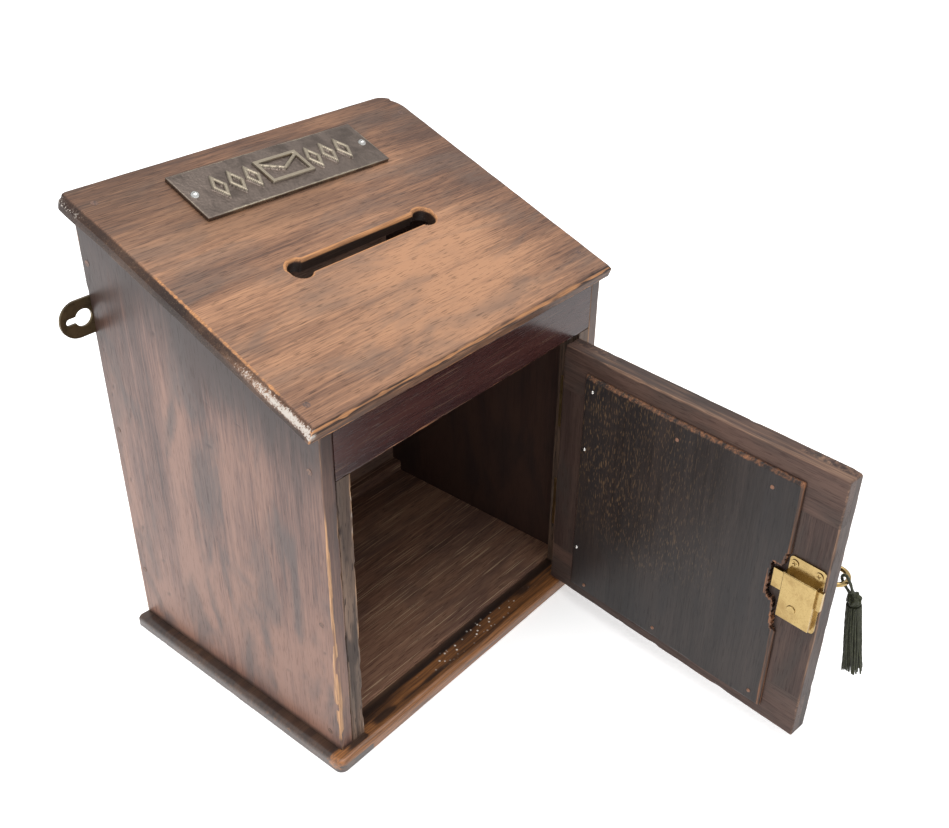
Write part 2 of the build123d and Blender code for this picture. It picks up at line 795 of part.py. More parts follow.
# Door panel, pinned over the frame's inner face and cut away round the lock
notch_left = bolt_near - 2.4
notch_side = lock_near - 1.0
with BuildPart() as door_panel:
    block(
        door_plane.offset(door_inner), panel_near, panel_far, panel_bottom, panel_top, panel_thickness
    )
    panel_front = door_panel.faces().sort_by(Axis((0, 0, 0), door_plane.z_dir))[-1]
    chamfer(panel_front.edges(), panel_bevel)
    with BuildSketch(door_plane.offset(door_inner)) as notch:
        with BuildLine():
            Polyline(
                (panel_far + 1, lock_plate_top + 1.6), (notch_side, lock_plate_top + 0.4),
                (notch_side - 1.6, bolt_top + 3.2), (notch_left + 0.4, bolt_top + 3.0),
                (notch_left, bolt_bottom - 8.0), (notch_side - 3.2, bolt_bottom - 9.3),
                (notch_side - 1.1, lock_plate_bottom - 10.0), (panel_far + 1, lock_plate_bottom - 12.6),
                close=True,
            )
        make_face()
    extrude(notch.sketch, amount=panel_thickness, mode=Mode.SUBTRACT)
    panel_pin_holes()
door_panel.part.label = "door_panel"

with BuildPart() as panel_pins:
    ball_heads(
        panel_pin_places, panel_pin_radius, panel_pin_length, panel_pin_ball_radius, panel_pin_ball_depth
    )
panel_pins.part.label = "panel_pins"

# Hinges: the frame's leaf has the outer knuckles and the door's leaf the middle one
knuckle_pitch = hinge_length / 3
for place, middle in hinge_heights.items():
    low = middle - hinge_length / 2
    for owner in ("frame", "door"):
        with BuildPart() as leaf:
            if owner == "frame":
                plane = Plane(origin=(axis_x, axis_y, 0), x_dir=(1, 0, 0), z_dir=(0, -1, 0))
                block(
                    plane, door_near, door_near + hinge_leaf_thickness,
                    low, low + hinge_length, -hinge_leaf_width - door_outer,
                )
                own_knuckles = (0, 2)
                leaf_screws = frame_hinge_screws
                bore_radius = hinge_pin_radius + hinge_pin_fixed_clearance
            else:
                block(
                    door_plane, door_near, door_near + hinge_leaf_thickness,
                    low, low + hinge_length, hinge_leaf_width + door_outer,
                )
                own_knuckles = (1,)
                leaf_screws = door_hinge_screws
                bore_radius = hinge_pin_radius + hinge_pin_running_clearance
            for number in range(3):
                with Locations((axis_x, axis_y, low + (number + 0.5) * knuckle_pitch)):
                    if number in own_knuckles:
                        Cylinder(knuckle_radius, knuckle_pitch - knuckle_gap)
                    else:
                        Cylinder(
                            knuckle_radius + knuckle_clearance, knuckle_pitch + knuckle_gap,
                            mode=Mode.SUBTRACT,
                        )
            with Locations((axis_x, axis_y, middle)):
                Cylinder(bore_radius, hinge_length + 1, mode=Mode.SUBTRACT)
            screws(
                leaf_screws, small_screw_radius, hinge_screw_length, small_screw_head_radius,
                small_screw_head_height, hole_clearance, Mode.SUBTRACT,
            )
        leaf.part.label = f"{place}_hinge_{owner}_leaf"
        export_step(leaf.part, f"parts/{place}_hinge_{owner}_leaf.step")
    with BuildPart() as hinge_pin:
        with Locations((axis_x, axis_y, middle)):
            Cylinder(hinge_pin_radius, hinge_length)
    hinge_pin.part.label = f"{place}_hinge_pin"
    export_step(hinge_pin.part, f"parts/{place}_hinge_pin.step")

for name, places in (("hinge_screws_door", door_hinge_screws), ("hinge_screws_frame", frame_hinge_screws)):
    with BuildPart() as hinge_screws:
        screws(
            places, small_screw_radius, hinge_screw_length, small_screw_head_radius, small_screw_head_height
        )
        driver_slots(places, 2 * small_screw_head_radius, 0)
    hinge_screws.part.label = name
    export_step(hinge_screws.part, f"parts/{name}.step")

# Lock
with BuildPart() as lock_back_plate:
    block(
        door_plane.offset(door_inner), lock_near, lock_far, lock_plate_bottom, lock_plate_top,
        lock_plate_thickness,
    )
    fillet(
        lock_back_plate.edges().filter_by(Axis((0, 0, 0), door_plane.z_dir)), lock_plate_corner_radius
    )
    keyhole(door_plane.offset(door_inner), lock_plate_thickness)
    screws(
        lock_screw_places, small_screw_radius, lock_screw_length, lock_screw_head_radius,
        lock_screw_head_height, hole_clearance, Mode.SUBTRACT,
    )
    screws(
        lock_pin_places, lock_pin_radius, lock_screw_length, lock_pin_head_radius,
        lock_screw_head_height, hole_clearance, Mode.SUBTRACT,
    )
lock_back_plate.part.label = "lock_back_plate"

with BuildPart() as lock_case:
    block(door_plane.offset(plate_face), case_near, case_far, case_bottom, case_top, case_depth)
    case_top_edges = lock_case.faces().sort_by(Axis((0, 0, 0), door_plane.z_dir))[-1].edges()
    fillet(case_top_edges, case_edge_radius)
    block(
        door_plane.offset(plate_face), case_near + case_wall, case_far - case_wall,
        case_bottom + case_wall, case_top - case_wall, case_depth - case_wall, Mode.SUBTRACT,
    )
    block(
        door_plane.offset(plate_face), case_near - 1, case_far + 1,
        bolt_bottom - bolt_clearance, bolt_top + bolt_clearance,
        bolt_thickness + 2 * bolt_clearance, Mode.SUBTRACT,
    )
    with Locations(door_spot(key_u, lock_key_height, case_face)):
        Cylinder(drill_pin_radius + hole_clearance, 3 * case_wall, mode=Mode.SUBTRACT)
lock_case.part.label = "lock_case"

with BuildPart() as lock_bolt:
    block(door_plane.offset(bolt_back), bolt_near, bolt_far, bolt_bottom, bolt_top, bolt_thickness)
    block(
        door_plane.offset(bolt_back), key_u - talon_back, key_u + talon_front,
        bolt_bottom - 1, bolt_bottom + talon_depth, bolt_thickness, Mode.SUBTRACT,
    )
lock_bolt.part.label = "lock_bolt"

# A strip that rides on the bolt's upper edge, bowed down in its middle
with BuildPart() as lock_spring:
    spring_low = bolt_top + bolt_clearance
    spring_high = case_top - case_wall - bolt_clearance
    spring_mid_u = (case_near + case_far) / 2
    spring_half = (case_far - case_near) / 2 - case_wall - 1.0
    with BuildSketch(door_plane.offset(bolt_back + 0.2)) as strip:
        with BuildLine():
            upper = ThreePointArc(
                (spring_mid_u - spring_half, spring_high),
                (spring_mid_u, spring_low + spring_thickness),
                (spring_mid_u + spring_half, spring_high),
            )
            lower = ThreePointArc(
                (spring_mid_u - spring_half, spring_high - spring_thickness),
                (spring_mid_u, spring_low),
                (spring_mid_u + spring_half, spring_high - spring_thickness),
            )
            Line(upper @ 0, lower @ 0)
            Line(upper @ 1, lower @ 1)
        make_face()
    extrude(strip.sketch, amount=spring_width)
lock_spring.part.label = "lock_spring"

with BuildPart() as lock_drill_pin:
    with Locations(door_spot(key_u, lock_key_height, case_face)):
        Cylinder(
            drill_pin_radius, drill_pin_length, align=(Align.CENTER, Align.CENTER, Align.MAX)
        )
        Cylinder(
            drill_pin_head_radius, drill_pin_head_height, align=(Align.CENTER, Align.CENTER, Align.MIN)
        )
    head_face = lock_drill_pin.faces().sort_by(Axis((0, 0, 0), door_plane.z_dir))[-1]
    fillet(head_face.edges(), drill_pin_head_height * 0.6)
lock_drill_pin.part.label = "lock_drill_pin"

with BuildPart() as lock_screws:
    screws(
        lock_screw_places, small_screw_radius, lock_screw_length, lock_screw_head_radius,
        lock_screw_head_height,
    )
    with Locations(*lock_screw_places):
        for turn in (20, 110):
            with Locations(Location((0, 0, 0), (0, 0, turn))):
                Box(
                    1.2 * lock_screw_head_radius, driver_slot_width, driver_slot_depth,
                    align=(Align.CENTER, Align.CENTER, Align.MAX), mode=Mode.SUBTRACT,
                )
    screws(
        lock_pin_places, lock_pin_radius, lock_screw_length, lock_pin_head_radius, lock_screw_head_height
    )
lock_screws.part.label = "lock_screws"

with BuildPart() as keyhole_escutcheon:
    with BuildSketch(door_plane.offset(door_outer)) as liner:
        for extra, mode in ((escutcheon_wall - hole_clearance, Mode.ADD), (0.0, Mode.SUBTRACT)):
            with Locations((key_u, lock_key_height)):
                Circle(key_stem_radius + keyhole_clearance + extra, mode=mode)
            reach = bit_reach + keyhole_clearance + extra
            with Locations((key_u, lock_key_height - reach / 2)):
                Rectangle(bit_thickness + keyhole_clearance + 2 * extra, reach, mode=mode)
    extrude(liner.sketch, amount=escutcheon_depth)
keyhole_escutcheon.part.label = "keyhole_escutcheon"

# Key: a pipe key with its bit and its bow in one level plane
with BuildPart() as key:
    tip_v = case_face - case_wall - key_tip_clearance
    stem_end_v = bow_v + bow_radius
    with Locations(door_spot(key_u, lock_key_height, tip_v)):
        Cylinder(
            key_stem_radius, tip_v - stem_end_v, align=(Align.CENTER, Align.CENTER, Align.MAX)
        )
    with Locations(door_spot(key_u, lock_key_height, door_outer - collar_standoff)):
        Cylinder(collar_radius, collar_length, align=(Align.CENTER, Align.CENTER, Align.MAX))
    with Locations(door_spot(key_u, lock_key_height, bow_v)):
        with Locations(Location((0, 0, 0), (90, 0, 0))):
            Torus(bow_radius, bow_wire_radius)
    block(
        door_plane.offset(tip_v - bit_length), key_u - bit_reach, key_u,
        lock_key_height - bit_thickness / 2, lock_key_height + bit_thickness / 2, bit_length,
    )
    with Locations(door_spot(key_u, lock_key_height, tip_v)):
        Cylinder(
            pin_fit_radius, drill_pin_length + 1.0, align=(Align.CENTER, Align.CENTER, Align.MAX),
            mode=Mode.SUBTRACT,
        )
key.part.label = "key"

# Tassel: a loop of cord over the bow's wire, a knot and a skirt of threads
def loop_point(distance, rise):
    # a point in the loop's leaning plane, from the middle of the bow's wire
    lean = radians(loop_lean)
    return door_plane.from_local_coords(
        Vector(
            key_u + bow_radius + distance, lock_key_height + rise * cos(lean), bow_v + rise * sin(lean)
        )
    )


wrap = bow_wire_radius + cord_bow_gap + cord_diameter / 2
knot_spot = Vector(knot_distance, -knot_drop)
knot_middle = loop_point(knot_spot.X, knot_spot.Y)
bends = [
    Vector(wrap - 0.6, loop_rise + 0.1), Vector(0.1 - wrap, loop_rise - 0.2),
    Vector(-0.4 - wrap, -bow_wire_radius - 0.1),
]
loop_ends = [
    knot_spot + (bend - knot_spot).normalized() * (knot_radius + knot_gap) for bend in (bends[0], bends[2])
]
route = [loop_ends[0], *bends, loop_ends[1]]
loop_radii = []
for before, corner, after in zip(route, route[1:], route[2:]):
    arriving = corner - before
    leaving = after - corner
    half_turn = radians(arriving.get_angle(leaving) / 2)
    loop_radii.append(bend_share * min(arriving.length, leaving.length) / tan(half_turn))

with BuildPart() as tassel_loop:
    with BuildLine() as loop_path:
        FilletPolyline(*[loop_point(point.X, point.Y) for point in route], radius=loop_radii)
    with BuildSketch(Plane(loop_path.line @ 0, z_dir=loop_path.line % 0)) as cord_section:
        Circle(cord_diameter / 2)
    sweep(cord_section.sketch, path=loop_path.line)
tassel_loop.part.label = "tassel_loop"
loop_length = loop_path.wires()[0].length
loop_tube_volume = loop_length * pi * cord_diameter**2 / 4
print("tassel loop length", round(loop_length, 2), "bends", [round(bend, 2) for bend in loop_radii])
print("loop volume over section times length", round(tassel_loop.part.volume / loop_tube_volume, 4))

lean_direction = (
    Vector(0, 0, -1) + hinge_u_dir * tan(radians(skirt_lean))
    - door_plane.z_dir * tan(radians(skirt_outward_lean))
).normalized()
skirt_plane = Plane(knot_middle, z_dir=lean_direction)
skirt_start = knot_radius * knot_flat
with BuildPart() as tassel_knot:
    with Locations(Location(knot_middle)):
        Sphere(knot_radius)
    with Locations(skirt_plane.location * Location((0, 0, skirt_start))):
        Box(
            3 * knot_radius, 3 * knot_radius, knot_radius,
            align=(Align.CENTER, Align.CENTER, Align.MIN), mode=Mode.SUBTRACT,
        )
tassel_knot.part.label = "tassel_knot"

with BuildPart() as tassel_skirt:
    # x is the radius and y runs down from the knot's middle
    with BuildSketch(Plane(knot_middle, x_dir=skirt_plane.x_dir, z_dir=-skirt_plane.y_dir)) as half:
        with BuildLine():
            skirt_end = skirt_start + skirt_length
            Polyline((0, skirt_end), (0, skirt_start), (skirt_top_radius, skirt_start))
            ThreePointArc(
                (skirt_top_radius, skirt_start),
                (skirt_middle_radius, (skirt_start + skirt_end) / 2),
                (skirt_bottom_radius, skirt_end),
            )
            Line((skirt_bottom_radius, skirt_end), (0, skirt_end))
        make_face()
    revolve(half.sketch, axis=Axis(skirt_plane.origin, skirt_plane.z_dir))
tassel_skirt.part.label = "tassel_skirt"

for piece in (
    base_board, back_board, front_top_rail, floor_board, back_batten, top_lid, carcase_nails, lid_nails,
    base_screws, name_plate, name_plate_screws, hanging_plate_screws, door_panel, panel_pins,
    lock_back_plate, lock_case, lock_bolt, lock_spring, lock_drill_pin, lock_screws,
    keyhole_escutcheon, key, tassel_loop, tassel_knot, tassel_skirt,
):
    export_step(piece.part, f"parts/{piece.part.label}.step")
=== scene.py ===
import json
from itertools import product
from math import cos, pi, radians, sin, tan

import bpy
import numpy as np
from mathutils import Matrix, Vector


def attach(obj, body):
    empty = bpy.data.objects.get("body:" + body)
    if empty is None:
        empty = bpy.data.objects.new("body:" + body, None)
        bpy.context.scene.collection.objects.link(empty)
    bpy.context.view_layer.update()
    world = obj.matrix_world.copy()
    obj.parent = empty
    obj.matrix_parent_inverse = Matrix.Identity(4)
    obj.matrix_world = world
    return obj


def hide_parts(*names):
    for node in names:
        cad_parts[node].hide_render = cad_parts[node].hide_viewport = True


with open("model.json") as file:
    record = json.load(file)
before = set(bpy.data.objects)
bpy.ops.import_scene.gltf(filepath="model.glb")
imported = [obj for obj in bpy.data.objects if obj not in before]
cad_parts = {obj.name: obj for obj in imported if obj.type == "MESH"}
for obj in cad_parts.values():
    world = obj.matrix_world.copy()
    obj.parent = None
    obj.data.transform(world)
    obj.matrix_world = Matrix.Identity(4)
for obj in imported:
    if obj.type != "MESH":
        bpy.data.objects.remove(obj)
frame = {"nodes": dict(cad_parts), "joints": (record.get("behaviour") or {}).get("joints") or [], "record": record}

nodes = frame["nodes"]
joints = {joint["name"]: joint for joint in frame["joints"]}
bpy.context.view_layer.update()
mm = 0.001
print("frame loaded")


# Camera, at the photograph's viewing angle

view = {
    "place": (-0.39682, -0.41372, 0.49850),
    "yaw": -50.66,
    "pitch": -32.02,
    "roll": 0.88,
    "focalPixels": 1096.43,
    "pictureWidth": 949,
    "sensorWidth": 36,
}


def addCamera():
    yaw, pitch, roll = (radians(view[key]) for key in ("yaw", "pitch", "roll"))
    forward = Vector((-sin(yaw) * cos(pitch), cos(yaw) * cos(pitch), sin(pitch)))
    level = Vector((cos(yaw), sin(yaw), 0))
    upright = level.cross(forward)
    right = level * cos(roll) + upright * sin(roll)
    up = upright * cos(roll) - level * sin(roll)
    data = bpy.data.cameras.new("photoCamera")
    data.sensor_fit = "HORIZONTAL"
    data.sensor_width = view["sensorWidth"]
    data.lens = view["focalPixels"] / view["pictureWidth"] * view["sensorWidth"]
    data.clip_start = 0.01
    camera = bpy.data.objects.new("photoCamera", data)
    turn = Matrix((right, up, -forward)).transposed().to_4x4()
    camera.matrix_world = Matrix.Translation(view["place"]) @ turn
    bpy.context.scene.collection.objects.link(camera)
    bpy.context.scene.camera = camera


addCamera()
print("camera placed")


# Studio: a pale floor and soft light

studio = {
    "floorSize": 6.0,
    "floorColour": (0.92, 0.92, 0.92, 1),
    "skyColour": (1.0, 1.0, 1.0, 1),
    "skyStrength": 0.85,
    # place, what it faces, size and power of each soft light
    "lamps": {
        "overhead": ((0.1, -0.3, 1.8), (0, 0, 0.15), (1.6, 1.6), 22),
        "windowLeft": ((-1.3, 0.5, 1.1), (-0.1, 0, 0.1), (1.6, 1.4), 22),
    },
    "floorGlow": 0.4,
}


def addStudio():
    scene = bpy.context.scene
    scene.view_settings.view_transform = "Standard"
    world = bpy.data.worlds.new("studioSky")
    world.use_nodes = True
    background = world.node_tree.nodes["Background"]
    background.inputs["Color"].default_value = studio["skyColour"]
    background.inputs["Strength"].default_value = studio["skyStrength"]
    scene.world = world
    for name, (place, target, size, power) in studio["lamps"].items():
        data = bpy.data.lights.new(name, "AREA")
        data.shape = "RECTANGLE"
        data.size, data.size_y = size
        data.energy = power
        lamp = bpy.data.objects.new(name, data)
        lamp.location = place
        aim = Vector(target) - Vector(place)
        lamp.rotation_euler = aim.to_track_quat("-Z", "Y").to_euler()
        lamp.visible_glossy = name == "overhead"
        scene.collection.objects.link(lamp)
    half = studio["floorSize"] / 2
    corners = [(-half, -half, 0), (half, -half, 0), (half, half, 0), (-half, half, 0)]
    mesh = bpy.data.meshes.new("floor")
    mesh.from_pydata(corners, [], [(0, 1, 2, 3)])
    floor = bpy.data.objects.new("floor", mesh)
    scene.collection.objects.link(floor)
    material = bpy.data.materials.new("floorPaint")
    material.use_nodes = True
    shader = material.node_tree.nodes["Principled BSDF"]
    shader.inputs["Base Color"].default_value = studio["floorColour"]
    shader.inputs["Roughness"].default_value = 0.7
    shader.inputs["Specular IOR Level"].default_value = 0.1
    shader.inputs["Emission Color"].default_value = studio["floorColour"]
    shader.inputs["Emission Strength"].default_value = studio["floorGlow"]
    mesh.materials.append(material)


addStudio()
print("studio lit")


# Helpers for the nodes of a material

def newMaterial(name, roughness=0.5, metallic=0.0, **sockets):
    material = bpy.data.materials.new(name)
    material.use_nodes = True
    tree = material.node_tree
    shader = tree.nodes["Principled BSDF"]
    shader.inputs["Roughness"].default_value = roughness
    shader.inputs["Metallic"].default_value = metallic
    for socket, value in sockets.items():
        shader.inputs[socket.replace("_", " ")].default_value = value
    # the place on the object, for the textures
    place = put(tree, "ShaderNodeTexCoord").outputs["Object"]
    return material, tree, shader, place


def feed(tree, socket, value):
    # gives a socket a value or another node's output
    if isinstance(value, bpy.types.NodeSocket):
        tree.links.new(value, socket)
    else:
        socket.default_value = value


def put(tree, kind, inputs=None, **settings):
    node = tree.nodes.new(kind)
    for key, value in settings.items():
        setattr(node, key, value)
    for key, value in (inputs or {}).items():
        feed(tree, node.inputs[key], value)
    return node


def blendColour(tree, share, first, second, how="MIX"):
    node = put(tree, "ShaderNodeMix", data_type="RGBA", blend_type=how)
    for index, value in ((0, share), (6, first), (7, second)):
        feed(tree, node.inputs[index], value)
    return node.outputs[2]


def maths(tree, how, *values):
    node = put(tree, "ShaderNodeMath", operation=how)
    for index, value in enumerate(values):
        feed(tree, node.inputs[index], value)
    return node.outputs[0]


def spread(tree, value, low, high, to=(0.0, 1.0)):
    # a smooth step of a value between low and high
    node = put(
        tree, "ShaderNodeMapRange",
        {"Value": value, "From Min": low, "From Max": high, "To Min": to[0], "To Max": to[1]},
        interpolation_type="SMOOTHSTEP",
    )
    return node.outputs[0]


def cloud(tree, place, stretch, detail=4.0, roughness=0.5, distortion=0.0):
    # noise, with its own scale along each axis
    moved = put(tree, "ShaderNodeMapping", {"Vector": place, "Scale": stretch})
    noise = put(
        tree, "ShaderNodeTexNoise",
        {"Vector": moved.outputs[0], "Scale": 1.0, "Detail": detail, "Roughness": roughness,
         "Distortion": distortion},
    )
    return noise.outputs[0]


def addBump(tree, shader, height, strength, depth):
    # its depth is in millimetres
    bump = put(tree, "ShaderNodeBump", {"Height": height, "Strength": strength, "Distance": depth * mm})
    tree.links.new(bump.outputs[0], shader.inputs["Normal"])


def even(scale):
    return (scale, scale, scale)


def rgb(red, green, blue):
    return (red, green, blue, 1)


# Helpers for meshes; their lengths are in millimetres

noiseFactors = (73856093, 19349663, 83492791, 961748927, 1274126177)  # these scramble a cell's place


def softNoise(points, size, seed=0):
    # value noise from 0 to 1, in cells of the given size
    cells = points / np.array(size)
    low = np.floor(cells).astype(np.int64)
    part = cells - low
    part = part * part * (3 - 2 * part)
    total = np.zeros(len(points))
    byX, byY, byZ, bySeed, byMix = noiseFactors
    for corner in product((0, 1), repeat=3):
        x, y, z = (low + corner).T
        mixed = x * byX ^ y * byY ^ z * byZ ^ (seed + 7) * bySeed
        mixed = (mixed ^ (mixed >> 13)) * byMix & 0xFFFFFFFF
        mixed = (mixed ^ (mixed >> 15)) & 0xFFFF
        share = np.prod(np.where(np.array(corner) == 1, part, 1 - part), axis=1)
        total += mixed / 65535 * share
    return total


def ease(value, low, high):
    share = np.clip((value - low) / (high - low), 0, 1)
    return share * share * (3 - 2 * share)


def ruler(low, high, marks, fine, coarse):
    # grid lines from low to high, close together beside both ends and each mark
    stops = sorted({low, high, *marks})
    lines = []
    for near, far in zip(stops, stops[1:]):
        reach, step, half = 0.0, fine, []
        while reach < (far - near) / 2 - 0.2 * step:
            half.append(reach)
            reach += step
            step = min(coarse, step * 1.17)
        lines.extend(near + reach for reach in half)
        lines.extend(far - reach for reach in half)
    return np.unique(np.round(lines, 5))


def cellShell(lines, filled):
    # the faces between a grid's filled and empty cells
    counts = [len(line) for line in lines]
    padded = np.pad(filled, 1).astype(np.int8)
    quads = []
    for axis in range(3):
        others = (axis + 1) % 3, (axis + 2) % 3
        steps = np.diff(padded, axis=axis)
        trimmed = [slice(1, -1)] * 3
        trimmed[axis] = slice(None)
        steps = steps[tuple(trimmed)]
        for sign in (-1, 1):
            at = np.argwhere(steps == sign)
            corners = []
            for first, second in ((0, 0), (1, 0), (1, 1), (0, 1)):
                corner = at.copy()
                corner[:, others[0]] += first
                corner[:, others[1]] += second
                corners.append(np.ravel_multi_index(corner.T, counts))
            quad = np.stack(corners, axis=1)
            quads.append(quad if sign < 0 else quad[:, ::-1])
    quads = np.concatenate(quads)
    used, places = np.unique(quads, return_inverse=True)
    steps = np.unravel_index(used, counts)
    points = np.stack([lines[axis][steps[axis]] for axis in range(3)], axis=1)
    return points, places.reshape(-1, 4)


def arrisDistance(points, low, high, axes):
    # how far a point of a block's surface lies from the nearest arris
    gaps = np.stack([np.minimum(points[:, a] - low[a], high[a] - points[:, a]) for a in axes], axis=1)
    return np.sort(np.maximum(gaps, 0), axis=1)[:, 1]


def wornRound(points, low, high, radius, axes):
    # rounds the arrises of a block, each point by its own radius
    axes = list(axes)
    inner = np.clip(points[:, axes], low[axes] + radius[:, None], high[axes] - radius[:, None])
    away = points[:, axes] - inner
    length = np.linalg.norm(away, axis=1)
    share = np.where(length > radius, radius / np.maximum(length, 1e-9), 1.0)
    moved = points.copy()
    moved[:, axes] = inner + away * share[:, None]
    return moved


def arrisDrop(radius, away):
    # how far a round arris lies below its face, at a distance from the edge
    sunk = np.clip(radius - away, 0, radius)
    return radius - np.sqrt(np.clip(radius**2 - sunk**2, 0, None))


def pareArris(points, first, firstAt, second, secondAt, size):
    # planes off the arris between two faces of a block to a bevel
    moved = points.copy()
    short = size - abs(points[:, first] - firstAt) - abs(points[:, second] - secondAt)
    short = np.clip(short, 0, None) / 2
    moved[:, first] += short * np.sign(points[:, first].mean() - firstAt)
    moved[:, second] += short * np.sign(points[:, second].mean() - secondAt)
    return moved


def roundPlan(points, centre, signs, radius):
    # turns a square corner of the plan to a round one
    moved = points.copy()
    a = np.clip((points[:, 0] - centre[0]) * signs[0], 0, None)
    b = np.clip((points[:, 1] - centre[1]) * signs[1], 0, None)
    inside = (a > 0) & (b > 0)
    share = np.where(inside, np.maximum(a, b) / np.maximum(np.hypot(a, b), 1e-9), 1.0)
    moved[:, 0] = np.where(inside, centre[0] + signs[0] * a * share, points[:, 0])
    moved[:, 1] = np.where(inside, centre[1] + signs[1] * b * share, points[:, 1])
    return moved


def addPiece(name, points, faces, body, replaced, material, marks=None, sharp=35):
    mesh = bpy.data.meshes.new(name)
    corners = [[int(index) for index in face] for face in faces]
    mesh.from_pydata((np.array(points) * mm).tolist(), [], corners)
    mesh.polygons.foreach_set("use_smooth", [True] * len(mesh.polygons))
    mesh.set_sharp_from_angle(angle=radians(sharp))
    for mark, values in (marks or {}).items():
        mesh.attributes.new(mark, "FLOAT", "POINT").data.foreach_set("value", values.astype(np.float32))
    mesh.materials.append(material)
    piece = bpy.data.objects.new(name, mesh)
    bpy.context.scene.collection.objects.link(piece)
    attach(piece, body)
    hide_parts(*replaced)
    return piece


def sawBoard(low, high, marks=((), (), ()), fine=0.45, coarse=(3, 3, 3), hollow=None, block=None,
             axes=(0, 1, 2), radius=0.7, chips=0.8, chipSize=5.0, width=2.2, strength=0.6, seed=1):
    # a board with worn arrises; returns its points, faces and wear
    low, high = np.array(low, float), np.array(high, float)
    lines = [ruler(low[a], high[a], marks[a], fine, coarse[a]) for a in range(3)]
    middles = np.meshgrid(*[(line[1:] + line[:-1]) / 2 for line in lines], indexing="ij")
    filled = np.ones(middles[0].shape, bool) if hollow is None else ~hollow(*middles)
    points, faces = cellShell(lines, filled)
    blockLow, blockHigh = (np.array(end, float) for end in block or (low, high))
    broad = softNoise(points, 14, seed)
    small = softNoise(points, chipSize, seed + 1)
    tiny = softNoise(points, 1.7, seed + 2)
    rounding = radius * (0.6 + 0.8 * broad) + chips * ease(small, 0.62, 0.9) + 0.2 * chips * tiny
    reach = width * (0.35 + 1.3 * softNoise(points, 9, seed + 3)) * (0.6 + 0.8 * small)
    wearAndHighlight = strength * (1 - ease(arrisDistance(points, blockLow, blockHigh, axes), 0.25 * reach, reach))
    wearAndHighlight *= 0.55 + 0.9 * softNoise(points, 22, seed + 4)
    points = wornRound(points, blockLow, blockHigh, rounding, axes)
    return points, faces, wearAndHighlight


def sink(points, low, high, depth, size, axes, seed):
    # hollows a block's faces a little, as a hand plane and years of use do
    moved = points.copy()
    for axis in axes:
        dip = depth * (0.25 + softNoise(points, size, seed + axis))
        for at, sign in ((low[axis], 1), (high[axis], -1)):
            near = 1 - ease(abs(points[:, axis] - at), 0.3, 2.5)
            moved[:, axis] += sign * dip * near
    return moved


def tube(path, radii, sides=8, ridge=0.0, turns=0.0, phase=0.0):
    # a tube along a path; its ridges wind round as the plies of a thread do
    path = np.array(path, float)
    ahead = np.gradient(path, axis=0)
    ahead /= np.linalg.norm(ahead, axis=1)[:, None]
    side = np.cross(ahead[0], (0.31, 0.17, 0.93))
    points, faces = [], []
    for number, (spot, heading) in enumerate(zip(path, ahead)):
        side = side - heading * side.dot(heading)
        side /= np.linalg.norm(side)
        other = np.cross(heading, side)
        for step in range(sides):
            angle = 2 * pi * step / sides
            wind = 1 + ridge * cos(2 * (angle - phase) - 4 * pi * turns * number / len(path))
            reach = radii[number] * wind / (1 + ridge)
            points.append(spot + reach * (cos(angle) * side + sin(angle) * other))
    for number in range(len(path) - 1):
        here, there = number * sides, (number + 1) * sides
        for step in range(sides):
            after = (step + 1) % sides
            faces.append((here + step, here + after, there + after, there + step))
    faces.append(tuple(range(sides - 1, -1, -1)))
    faces.append(tuple(range((len(path) - 1) * sides, len(path) * sides)))
    return points, faces


def gather(parts):
    points, faces = [], []
    for more, sheets in parts:
        start = len(points)
        points.extend(more)
        faces.extend([start + index for index in face] for face in sheets)
    return np.array(points), faces


# Door's own axes: from the hinges to the lock edge, up, and inward out of its inner face

doorAngle = radians(82.9)
hinge = np.array(joints["door_swing"]["pos_m"]) / mm
along = np.array((-cos(doorAngle), -sin(doorAngle), 0))
inward = np.array((-sin(doorAngle), cos(doorAngle), 0))
upward = np.array((0, 0, 1))


def onDoor(u, z, v):
    return np.array((hinge[0], hinge[1], 0)) + along * u + inward * v + upward * z


def doorToWorld(points):
    u, z, v = points.T
    turned = np.outer(u, along) + np.outer(z, upward) + np.outer(v, inward)
    return turned + (hinge[0], hinge[1], 0)


# Lid's own axes: across, up the slope, and out of its upper face

slope = radians(20.8)
lidFoot = np.array((0, -90.0, 219.3))


def lidToWorld(points):
    upSlope = np.array((0, cos(slope), sin(slope)))
    outward = np.array((0, -sin(slope), cos(slope)))
    x, y, z = points.T
    return np.outer(x, (1, 0, 0)) + np.outer(y, upSlope) + np.outer(z, outward) + lidFoot


# Wood: stained and polished, worn to bare wood on the arrises

# turns that lay a board's grain along x
grainUp = (0, radians(90), 0)
grainAcross = (0, 0, 0)

